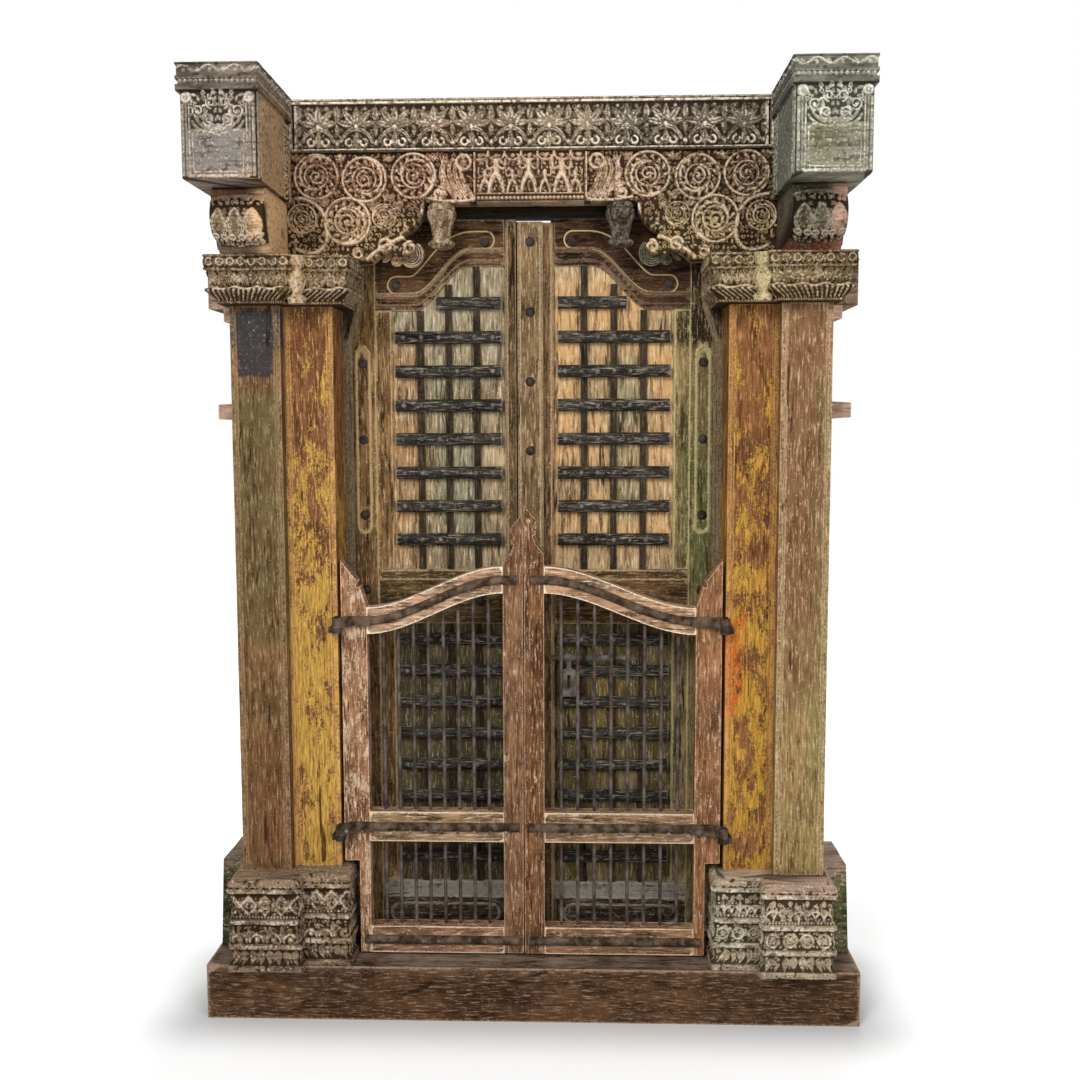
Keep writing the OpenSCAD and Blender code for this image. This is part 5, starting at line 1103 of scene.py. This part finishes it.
for name, side in SIDES.items():
    node, material = name + "_capital", carved["capital_" + name]
    low, high = box_mm(node)
    inner, block = sorted((abs(low[0]), abs(high[0])))
    outer, front, inner_front, back = X_OUTER + 42, -100, -65, high[1]
    plan = [(inner, Y_TONGUE, "carved", 4), (inner, inner_front, "carved", 2.4),
            (X_MID, inner_front, "carved", 2.4), (X_MID, front, "carved", 2.4), (outer, front, "carved", 4),
            (outer, Y_BLOCK, "plain", 20), (block, Y_BLOCK, "plain", 30), (block, back, "plain", 60),
            (X_MID, back, "plain", 50), (X_MID, Y_TONGUE, "plain", 60)]
    levels = [capital_foot + share * CAPITAL_TALL for share, _ in CAPITAL]
    wrapped_block(node, plan, step_rows(levels, 2.4), capital_inset, carve_capital, material, side < 0)
    profile = [(POT_RADIUS * r, capital_foot + POT_TALL * z) for r, z in POT]
    verts, faces = lathe(profile, (side * (X_MID - 12), inner_front - 6), 32, pot_ribs)
    tones = {"relief": 0.45 + 0.5 * value_noise(verts, 9, 2)}
    make_piece("pot_" + node, verts, faces, tones, material, node, BULGING)
    aged_block("heel_" + node, (side * X_OUTER, Y_BLOCK, low[2]),
               (side * (X_OUTER + block) / 2, back, capital_foot + 1), timber["lug"], node)


# Corbels: a lobed bulge lofted across the width, with a hollow and hanging leaf tips below
ROLL_RADIUS, ROLL_POINTS, ROLL_RUN, ROLL_DEPTH = 69, 60, 170, 8


def corbel_section(z0, z1, back):
    """Outline in depth and height from the back of the top to the back of the foot, and its roll's centre
    and first point."""
    centre = np.array([-131.0, z0 + 79.5])
    roll = arc(centre, ROLL_RADIUS, 128, 270, ROLL_POINTS)
    hollow = [(-120, z0 + 9), (-106, z0 + 6), (-101, z0), (back, z0)]
    collar = [(back, z1), (-150, z1), (-164, z1 - 6), (-168, z1 - 14)]
    return np.concatenate([collar, roll, hollow]), centre, len(collar)


def carve_corbel(relief, width, side):
    """Three hanging leaves with curled tips, over the run down the roll."""
    relief.plate((0, 0), (width, 12), 0.75)
    relief.foliage((2, 12), (width - 2, 42), 12, 37 + side, width / 2, 0.9)
    for x, reach in ((0.18 * width, 100), (0.5 * width, 116), (0.82 * width, 100)):
        relief.leaf((x, 40), 90, reach, 0.34 * width, 0.75, 0.6)
        for s in (-1, 1):
            relief.stroke(bend((x, 46), (x + s * 18, 84), (x + s * 8, 118)), 6, 0.95, (0.6, 1), 0.4)
            relief.stroke(arc((x + s * 10, 122), (10, 4), 90, 90 - s * 420, 30), 3.4, 1)
    relief.foliage((4, 132), (width - 4, 168), 12, 41 + side, width / 2)
    relief.foliage((2, 42), (width - 2, 134), 13, 43 + side, width / 2, 0.6)


for name, side in SIDES.items():
    node = name + "_corbel"
    low, high = box_mm(node)
    x_in, x_out = sorted((abs(low[0]), abs(high[0])))
    width = x_out - x_in
    section, centre, first = corbel_section(low[2], high[2], high[1])
    across = np.linspace(0, 1, 72)
    u, v = np.meshgrid(across * width, np.arange(ROLL_POINTS) / (ROLL_POINTS - 1) * ROLL_RUN)
    relief = Relief(u.ravel(), v.ravel())
    carve_corbel(relief, width, side)
    height = relief.h.reshape(ROLL_POINTS, len(across))
    verts, tones = [], []
    for i, t in enumerate(across):
        pinch = 1 - 0.16 * abs(2 * t - 1) ** 3
        for k, (y, z) in enumerate(section):
            tone = FLAT
            if first <= k < first + ROLL_POINTS:
                out = np.array([y, z]) - centre
                out /= np.hypot(*out)
                tone = height[k - first, i]
                y, z = centre + out * (ROLL_RADIUS * pinch - ROLL_DEPTH * (1 - tone))
                z = max(z, low[2] + 1)
            verts.append((side * (x_in + t * width), y, z))
            tones.append(tone)
    faces = ring_faces(len(across), len(section))
    replace_node(node, verts, faces, {"relief": tones}, carved["corbel_" + name], BULGING)

# Bases: lip, crossed band, beads, rolls, an arcade and a lotus foot, wrapped round two columns
BASE_TALL, BASE_RELIEF = 245, 7
BASE_INNER, BASE_OUTER, BASE_FRONT, BASE_STEP, BASE_TONGUE, BASE_BACK = 472, 785, -115, -70, 100, 230
BASE = ((0, 0), (0.08, 0), (0.12, 9.5), (0.2, 9.5), (0.24, 2.9), (0.3, 2.9), (0.31, 7.6), (0.38, 7.6),
        (0.39, 9.5), (0.5, 9.5), (0.52, 4.8), (0.56, 4.8), (0.57, 10.5), (0.61, 10.5), (0.62, 11.4),
        (0.84, 11.4), (0.86, 3.8), (0.93, 2.8), (0.97, 5.5), (1, 15))
BLOCK_SPREAD = 9.5


def carve_base(side):
    """Left: crossed strokes over scrolls and half rounds; right: interlaced arches and medallions."""

    def carve(kind, relief, length):
        z0, h = box_mm("left_base")[0][2], BASE_TALL
        if kind != "carved":
            relief.lift(slice(None), FLAT)
            return 0
        for foot, head, top in ((0, 0.07, 0.6), (0.245, 0.3, 0.85), (0.51, 0.565, 0.9), (0.845, 0.9, 0.75)):
            relief.plate((0, z0 + foot * h), (length, z0 + head * h), top, 4)
        n = max(1, round(length / 46))
        w = length / n
        for x in (np.arange(n) + 0.5) * w:
            for s in (-0.25, 0.25):
                relief.leaf((x + s * w, z0 + 0.24 * h), -90, 0.165 * h, 0.48 * w, 0.95, 0.5)
            relief.leaf((x, z0 + 0.2 * h), -90, 0.11 * h, 0.22 * w, 0.7)
            if side < 0:
                relief.stroke(arc((x, z0 + 0.325 * h), 0.4 * w, 0, 180), 4.2, 0.95)
                relief.ball((x, z0 + 0.345 * h), 0.2 * w, 0.9)
                relief.leaf((x + w / 2, z0 + 0.33 * h), 90, 0.16 * h, 0.4 * w, 0.85)
                for turn in (-0.1, 0.1):
                    ends = [(x - w / 2, z0 + (0.715 - turn) * h), (x + w / 2, z0 + (0.715 + turn) * h)]
                    relief.stroke(ends, 4.2)
                relief.stroke(arc((x + w / 2, z0 + 0.715 * h), (0.3 * w, 0.1 * w), 0, 420), 3.6, 0.85)
                relief.stroke(arc((x, z0 + 0.715 * h), (0.34 * w, 0.12 * w), 180, 560), 3.4, 0.8)
            else:
                relief.ring((x, z0 + 0.4 * h), 0.34 * w, 3.8, 0.95)
                relief.flower((x, z0 + 0.4 * h), 0.25 * w, 6, 0, 0.9)
                for shift in (0, 0.5):
                    relief.stroke(arc((x + shift * w, z0 + 0.615 * h), 0.5 * w, 0, 180), 3.6, 0.95)
                relief.flower((x + w / 2, z0 + 0.745 * h), 0.24 * w, 6, 0, 0.9)
                relief.leaf((x, z0 + 0.62 * h), 90, 0.12 * h, 0.26 * w, 0.9)
                relief.leaf((x, z0 + 0.83 * h), -90, 0.08 * h, 0.3 * w, 0.8)
        run = np.linspace(0, length, max(8, round(length / 5)))
        relief.stroke(np.stack([run, z0 + 0.875 * h + 3 * np.sin(run / 8)], 1), 6, 0.95)
        relief.beads((0, z0 + 0.59 * h), (length, z0 + 0.59 * h), max(2, round(length / 9)), 4)
        relief.foliage((0, z0 + 0.61 * h), (length, z0 + 0.84 * h), 12, 51, top=0.62)
        relief.foliage((0, z0 + 0.31 * h), (length, z0 + 0.5 * h), 12, 53, top=0.58)
        relief.foliage((0, z0 + 0.9 * h), (length, z0 + h), 14, 55, top=0.8)
        relief.plate((0, z0 + 0.925 * h), (length, z0 + 1.1 * h), 0.62, 6)
        return BASE_RELIEF

    return carve


for name, side in SIDES.items():
    node = name + "_base"
    low, high = box_mm(node)
    z0, h = low[2], high[2] - low[2]

    def base_inset(kind, z, z0=z0, h=h):
        if kind == "carved":
            return profile_at(BASE, (z - z0) / h)
        return -BLOCK_SPREAD * (1 - (z - z0) / h) if kind == "block" else 0.0

    block = max(abs(low[0]), abs(high[0])) - BLOCK_SPREAD
    plan = [(BASE_INNER, BASE_TONGUE, "carved", 6), (BASE_INNER, BASE_STEP, "carved", 2.3),
            (X_MID, BASE_STEP, "carved", 2.3), (X_MID, BASE_FRONT, "carved", 2.3),
            (BASE_OUTER, BASE_FRONT, "carved", 3.5), (BASE_OUTER, Y_BLOCK, "plain", 20),
            (block, Y_BLOCK, "block", 30), (block, BASE_BACK, "plain", 60), (X_OPEN, BASE_BACK, "plain", 60),
            (X_OPEN, BASE_TONGUE, "plain", 20)]
    rows = step_rows([z0 + share * h for share, _ in BASE], 2.3)
    wrapped_block(node, plan, rows, base_inset, carve_base(side), carved["base_" + name], side < 0, 0.5)

# Pendants: lotus buds with a ring of petals at the foot; radius and height in shares
PENDANT_RADIUS, PENDANT_EDGE = 39, 41
PENDANT = ((0.05, 0.0), (0.3, 0.004), (0.62, 0.04), (0.8, 0.09), (0.84, 0.14), (0.7, 0.2), (0.6, 0.23),
           (0.6, 0.27), (0.68, 0.42), (0.78, 0.55), (0.98, 0.72), (1, 0.80), (0.98, 0.83), (0.86, 0.86),
           (0.92, 0.9), (0.9, 0.94), (0.75, 1))


def bud_petals(a, k):
    """Petals at the foot of a bud, and shallow flutes on its body."""
    if 2 <= k <= 5:
        return 1 + 0.13 * (abs(np.cos(5 * a)) - 0.4)
    return 1 - 0.05 * abs(np.sin(6 * a)) ** 0.6 * (8 <= k <= 11)


low, high = box_mm("pendants")
profile = [(PENDANT_RADIUS * r, low[2] + z * (high[2] - low[2])) for r, z in PENDANT]
depth = (low[1] + high[1]) / 2
verts, faces = joined([lathe(profile, (side * (high[0] - PENDANT_EDGE), depth), 96, bud_petals)
                       for side in SIDES.values()])
tones = {"relief": 0.35 + 0.6 * value_noise(verts, 8, 6)}
buds = replace_node("pendants", verts, faces, tones, carved["pendant_left"], ROUND)
buds.data.materials.append(carved["pendant_right"])
for face in buds.data.polygons:
    face.material_index = int(face.center.x > 0)

# ---- Plain timbers and iron --------------------------------------------------------------------

# Paint of each timber, and its bevel, grid and unevenness in millimetres
PLAIN = {
    "sill": ("sill", 5, 20, 0.8), "head_beam": ("head", 2, 40, 0.3), "wall_lugs": ("lug", 3, 10, 1.0),
    "astragal": ("astragal", 1.5, 12, 0.3), "left_outer_post": ("outer_post_left", 3, 14, 0.8),
    "right_outer_post": ("outer_post_right", 3, 14, 0.8), "left_inner_post": ("inner_post_left", 3, 14, 0.8),
    "right_inner_post": ("inner_post_right", 3, 14, 0.8), "left_boards": ("boards_left", 0.5, 16, 0.3),
    "right_boards": ("boards_right", 0.5, 16, 0.3),
}
for name in SIDES:
    PLAIN[name + "_architrave"] = ("architrave", 1.2, 14, 0.3)
    PLAIN[name + "_battens"] = ("battens", 1.2, 16, 0.3)
    PLAIN[name + "_bars"] = ("bars", 1.5, 9, 0.9)
PLAIN.update({node: (node, 1.2, 12, 0.2) for node in LEAF_TONES})
PLAIN.update({node: (node, 3, 11, 0.6) for node in GATE_TONES})
for node, (paint, bevel, cell, wobble) in PLAIN.items():
    aged_copy(node, timber[paint], bevel, cell, wobble)

# Iron that is shown as the CAD has it
FORGED = {"gate_pintles": "forged", "bolt_keeper": "forged", "bolt_staples": "forged", "bolt": "worn_bolt",
          "hasp": "worn_bolt"}
for name in SIDES:
    FORGED[name + "_bosses"] = "forged"
    FORGED[name + "_gate_bars"] = "gate_bar"
    FORGED[name + "_gate_straps"] = "strap"
for node, paint in FORGED.items():
    slots = frame["nodes"][node].data.materials
    slots.clear()
    slots.append(iron[paint])

# ---- Small iron and hanging scrolls -------------------------------------------------------------


def domes(name, places, radius, height, material, node):
    """Round nail heads on faces that look to the front, sunk a little so that none floats."""
    verts, faces = [], []
    rings, count, sunk = 4, 12, 0.4
    for x, y, z in places:
        first = len(verts)
        for k in range(rings):
            t = math.pi / 2 * k / rings
            for a in np.linspace(0, TAU, count, endpoint=False):
                verts.append((x + radius * math.cos(t) * math.cos(a), y + sunk - height * math.sin(t),
                              z + radius * math.cos(t) * math.sin(a)))
        verts.append((x, y + sunk - height, z))
        for k in range(rings - 1):
            for j in range(count):
                a, b = first + k * count + j, first + k * count + (j + 1) % count
                faces.append((a, b, b + count, a + count))
        last = first + (rings - 1) * count
        faces += [(last + j, last + (j + 1) % count, first + rings * count) for j in range(count)]
        faces.append(tuple(first + j for j in range(count)))
    make_piece(name, verts, faces, {"relief": np.ones(len(verts))}, material, node, ROUND)


def tube(path, radii, count, flute=0.0):
    """Closed rod along a path, with a radius at each point; flutes make it a ribbed leaf."""
    path = np.asarray(path, float)
    ahead = np.gradient(path, axis=0)
    ahead /= np.sqrt((ahead**2).sum(1))[:, None]
    side = np.cross(ahead, (0, 1, 0))
    side /= np.sqrt((side**2).sum(1))[:, None]
    other = np.cross(side, ahead)
    a = np.linspace(0, TAU, count, endpoint=False)
    swell = (1 + flute * np.cos(count / 4 * a))[None, :, None]
    ring = swell * (np.cos(a)[None, :, None] * side[:, None] + np.sin(a)[None, :, None] * other[:, None])
    verts = (path[:, None] + np.asarray(radii)[:, None, None] * ring).reshape(-1, 3)
    return verts, ring_faces(len(path), count)


def upright(flat, y):
    """Path in the plane of a given depth."""
    return np.stack([flat[:, 0], np.full(len(flat), y), flat[:, 1]], 1)


# Studs on the horizontal bars and nails in the gates' straps
STUD_PITCH, NAIL_PITCH, STRAP_WIDE = 46, 42, 60
for name in SIDES:
    studs, nails = [], []
    for low, high in islands(name + "_bars"):
        count = max(2, round((high[0] - low[0]) / STUD_PITCH))
        for x in low[0] + (np.arange(count) + 0.5) * (high[0] - low[0]) / count:
            studs.append((x, low[1], (low[2] + high[2]) / 2))
    domes(name + "_bar_studs", studs, 6.5, 4.5, iron["stud"], name + "_bars")
    for low, high in islands(name + "_gate_straps"):
        if high[2] - low[2] < STRAP_WIDE:
            for x in np.arange(low[0] + 30, high[0] - 20, NAIL_PITCH):
                nails.append((x, low[1] + 0.5, (low[2] + high[2]) / 2))
    domes(name + "_strap_nails", nails, 5, 3.2, iron["stud"], name + "_gate_straps")

# Lath in the joint of the leaves, on the left one's edge
low, high = box_mm("left_meeting_stile")
lath_radius = 0.46 * (box_mm("right_meeting_stile")[0][0] - high[0])
rise = np.linspace(low[2] + 3, high[2] - 3, 60)
lath = upright(np.stack([np.full_like(rise, high[0] + lath_radius), rise], 1), (low[1] + high[1]) / 2)
verts, faces = tube(lath, np.full_like(rise, lath_radius), 10)
make_piece("leaf_joint_lath", verts, faces, {"edge": np.zeros(len(verts))}, timber["battens"],
           "left_meeting_stile", ROUND)


def arch_bead(node):
    """Middle of the raised line that follows a top rail's arch, from the joint of the leaves outwards."""
    places = np.array([v.co[:] for v in frame["nodes"][node].data.vertices]) / MM
    front = places[:, 1].min()
    line = places[places[:, 1] < front + 0.5]
    across = sorted({round(x) for x in line[:, 0]}, key=abs)
    return np.array([(x, line[abs(line[:, 0] - x) < 1, 2].mean()) for x in across])


# Raised line in a long loop along each top rail, over the arch's own line, with a boss in its outer end
LOOP_WIDE, LOOP_RADIUS, INNER_TRIM, OUTER_TRIM, SMOOTHINGS = 46, 2.3, 50, 58, 16
for name, sign in SIDES.items():
    node = name + "_top_rail"
    front = box_mm(name + "_meeting_stile")[0][1]
    line = arch_bead(node)
    reach = np.linspace(abs(line[0, 0]) + INNER_TRIM, abs(line[-1, 0]) - OUTER_TRIM, 60)
    lower = np.stack([sign * reach, np.interp(reach, abs(line[:, 0]), line[:, 1])], 1)
    for _ in range(SMOOTHINGS):
        lower[1:-1, 1] = (lower[:-2, 1] + 2 * lower[1:-1, 1] + lower[2:, 1]) / 4
    ahead = np.gradient(lower, axis=0)
    up = np.stack([-ahead[:, 1], ahead[:, 0]], 1) * sign
    up /= np.hypot(*up.T)[:, None]
    upper = lower + LOOP_WIDE * up
    ends = [(lower[k] + upper[k]) / 2 for k in (0, -1)]
    inner_end = arc(ends[0], LOOP_WIDE / 2, 90, 90 + sign * 180, 18)
    outer_end = arc(ends[1], LOOP_WIDE / 2, 270, 270 + sign * 180, 18)
    loop = upright(np.concatenate([lower, outer_end, upper[::-1], inner_end, lower[:2]]), front)
    verts, faces = tube(loop, np.full(len(loop), LOOP_RADIUS), 8)
    make_piece(name + "_arch_loop", verts, faces, {"edge": np.ones(len(verts))},
               timber[name + "_hinge_stile"], node, ROUND)
    domes(name + "_arch_boss", [(ends[1][0], front, ends[1][1])], 13, 8, iron["forged"], node)

# Curled iron in the loops of the bottom rails, with a bud in the middle
for name in SIDES:
    node = name + "_bottom_rail"
    low, high = box_mm(node)
    middle, half = (low[0] + high[0]) / 2, (high[0] - low[0]) / 2 - 52
    level = low[2] + 0.42 * (high[2] - low[2])
    front = box_mm(name + "_meeting_stile")[0][1] + 1.0
    curls = []
    for s in (-1, 1):
        end, stem = middle + s * half, (middle + s * 12, level + 5)
        curls += [arc((end, level), (20, 5), 90, 90 - s * 500, 48),
                  bend((end, level + 20), (middle + s * 0.55 * half, level + 27), stem, count=30),
                  bend(stem, (middle + s * 9, level + 14), (middle, level + 19), count=12)]
    verts, faces = joined([tube(upright(flat, front), np.linspace(3.4, 2.4, len(flat)), 8) for flat in curls])
    make_piece(name + "_rail_curls", verts, faces, {"relief": np.ones(len(verts))}, iron["stud"], node, ROUND)

# Ribbed leaf scrolls that hang in the brackets' hollows: centre, radii, start, turn and thickness
RIBS, SCROLL_Y = 9, 104.0
SCROLLS = (((318, 2006), (27, 6), 120, 520, 11), ((356, 1994), (15, 4), 60, 420, 8),
           ((392, 2004), (30, 10), 20, 240, 11))
for (name, side), material in zip(SIDES.items(), (carved["spandrel"], carved["corbel_right"])):
    meshes = []
    for centre, radius, start, turn, thick in SCROLLS:
        flat = arc(centre, radius, start, start + turn, 48) * (side, 1)
        meshes.append(tube(upright(flat, SCROLL_Y), np.linspace(thick, 0.4 * thick, 48), RIBS * 4, 0.16))
    verts, faces = joined(meshes)
    # Tone round each rib: high on the ridge and low in the flute, where the carved paint lays painted shade.
    ribs = np.resize([0.95, 0.45, 0.05, 0.45], len(verts))
    tones = {"relief": ribs * (0.55 + 0.6 * value_noise(verts, 12, 5))}
    make_piece(name + "_scrolls", verts, faces, tones, material, "left_spandrel", ROUND)

# ---- Stage, light and camera -------------------------------------------------------------------

scene = bpy.context.scene
scene.view_settings.view_transform = "Standard"

floor_paint = Paint("floor")
floor_colour = floor_paint.mix(floor_paint.noise(0.8, 2), (0.68, 0.68, 0.68), (0.72, 0.72, 0.72))
floor_material = floor_paint.finish(floor_colour, 0.9)

# White far floor: a glow that only the camera and gloss see; it is weak near the sill, which paints the
# sill's soft shadow on the floor
path = floor_paint.tree.nodes.new("ShaderNodeLightPath")
watched = floor_paint.math("MAXIMUM", path.outputs["Is Camera Ray"], path.outputs["Is Glossy Ray"])
sill_low, sill_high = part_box("sill")
squares = []
for k in (0, 1):
    middle, half = (sill_low[k] + sill_high[k]) / 2, (sill_high[k] - sill_low[k]) / 2
    off = floor_paint.math("ABSOLUTE", floor_paint.math("SUBTRACT", floor_paint.axis(k), middle))
    off = floor_paint.math("MAXIMUM", floor_paint.math("SUBTRACT", off, half), 0.0)
    squares.append(floor_paint.math("POWER", off, 2.0))
away = floor_paint.math("SQRT", floor_paint.plus(*squares))
# Painted shadow: no glow at the sill and full glow 0.22 m away, so the floor round the sill stays darker.
glow_with_painted_shadow = floor_paint.times(floor_paint.span(away, -0.02, 0.22), 0.42)
far_glow = floor_paint.times(floor_paint.span(away, 0.2, 1.6), 0.4)
glow = floor_paint.times(watched, floor_paint.plus(glow_with_painted_shadow, far_glow))
floor_paint.shader.inputs["Emission Color"].default_value = (1, 1, 1, 1)
floor_paint.feed(floor_paint.shader.inputs["Emission Strength"], glow)
bpy.ops.mesh.primitive_plane_add(size=40, location=(0, 0, 0))
floor = bpy.context.object
floor.name = "floor"
floor.data.materials.append(floor_material)

world = bpy.data.worlds.new("studio")
scene.world = world
world.use_nodes = True
nodes, links = world.node_tree.nodes, world.node_tree.links
background = nodes["Background"]
background.inputs["Color"].default_value = (1, 1, 1, 1)
rays = nodes.new("ShaderNodeLightPath")
seen = nodes.new("ShaderNodeMath")
seen.operation = "MAXIMUM"
links.new(rays.outputs["Is Camera Ray"], seen.inputs[0])
links.new(rays.outputs["Is Glossy Ray"], seen.inputs[1])
strength = nodes.new("ShaderNodeMapRange")
strength.inputs["To Min"].default_value = 0.4
strength.inputs["To Max"].default_value = 1.0
links.new(seen.outputs[0], strength.inputs["Value"])
links.new(strength.outputs["Result"], background.inputs["Strength"])


def area_light(name, at, target, size, power):
    """Square lamp that looks at a target; sizes in metres, power in watts."""
    lamp = bpy.data.lights.new(name, "AREA")
    lamp.energy, lamp.size = power, size
    light = bpy.data.objects.new(name, lamp)
    light.location = at
    light.rotation_euler = (Vector(target) - Vector(at)).to_track_quat("-Z", "Y").to_euler()
    scene.collection.objects.link(light)


area_light("key", (-1.6, -4.2, 4.2), (0, 0, 1.2), 1.8, 170)
area_light("fill", (2.6, -3.9, 2.4), (0, 0, 1.1), 2.4, 75)
area_light("back", (0.9, 4.4, 3.8), (0, 0, 1.2), 2.6, 110)

# The photograph's view: place, heading to the left, tilt down, roll and focal length in pixels
CAMERA_AT = (0.1329, -3.1377, 1.5521)
YAW, PITCH, ROLL = math.radians(1.97), math.radians(5.23), math.radians(-0.15)
FOCAL, FRAME, SENSOR = 1216.3, 1080, 36
lens = bpy.data.cameras.new("photo_view")
lens.sensor_width = SENSOR
lens.sensor_fit = "HORIZONTAL"
lens.lens = SENSOR * FOCAL / FRAME
camera = bpy.data.objects.new("photo_view", lens)
camera.matrix_world = (
    Matrix.Translation(CAMERA_AT)
    @ Matrix.Rotation(YAW, 4, "Z")
    @ Matrix.Rotation(math.pi / 2 - PITCH, 4, "X")
    @ Matrix.Rotation(ROLL, 4, "Z")
)
scene.collection.objects.link(camera)
scene.camera = camera
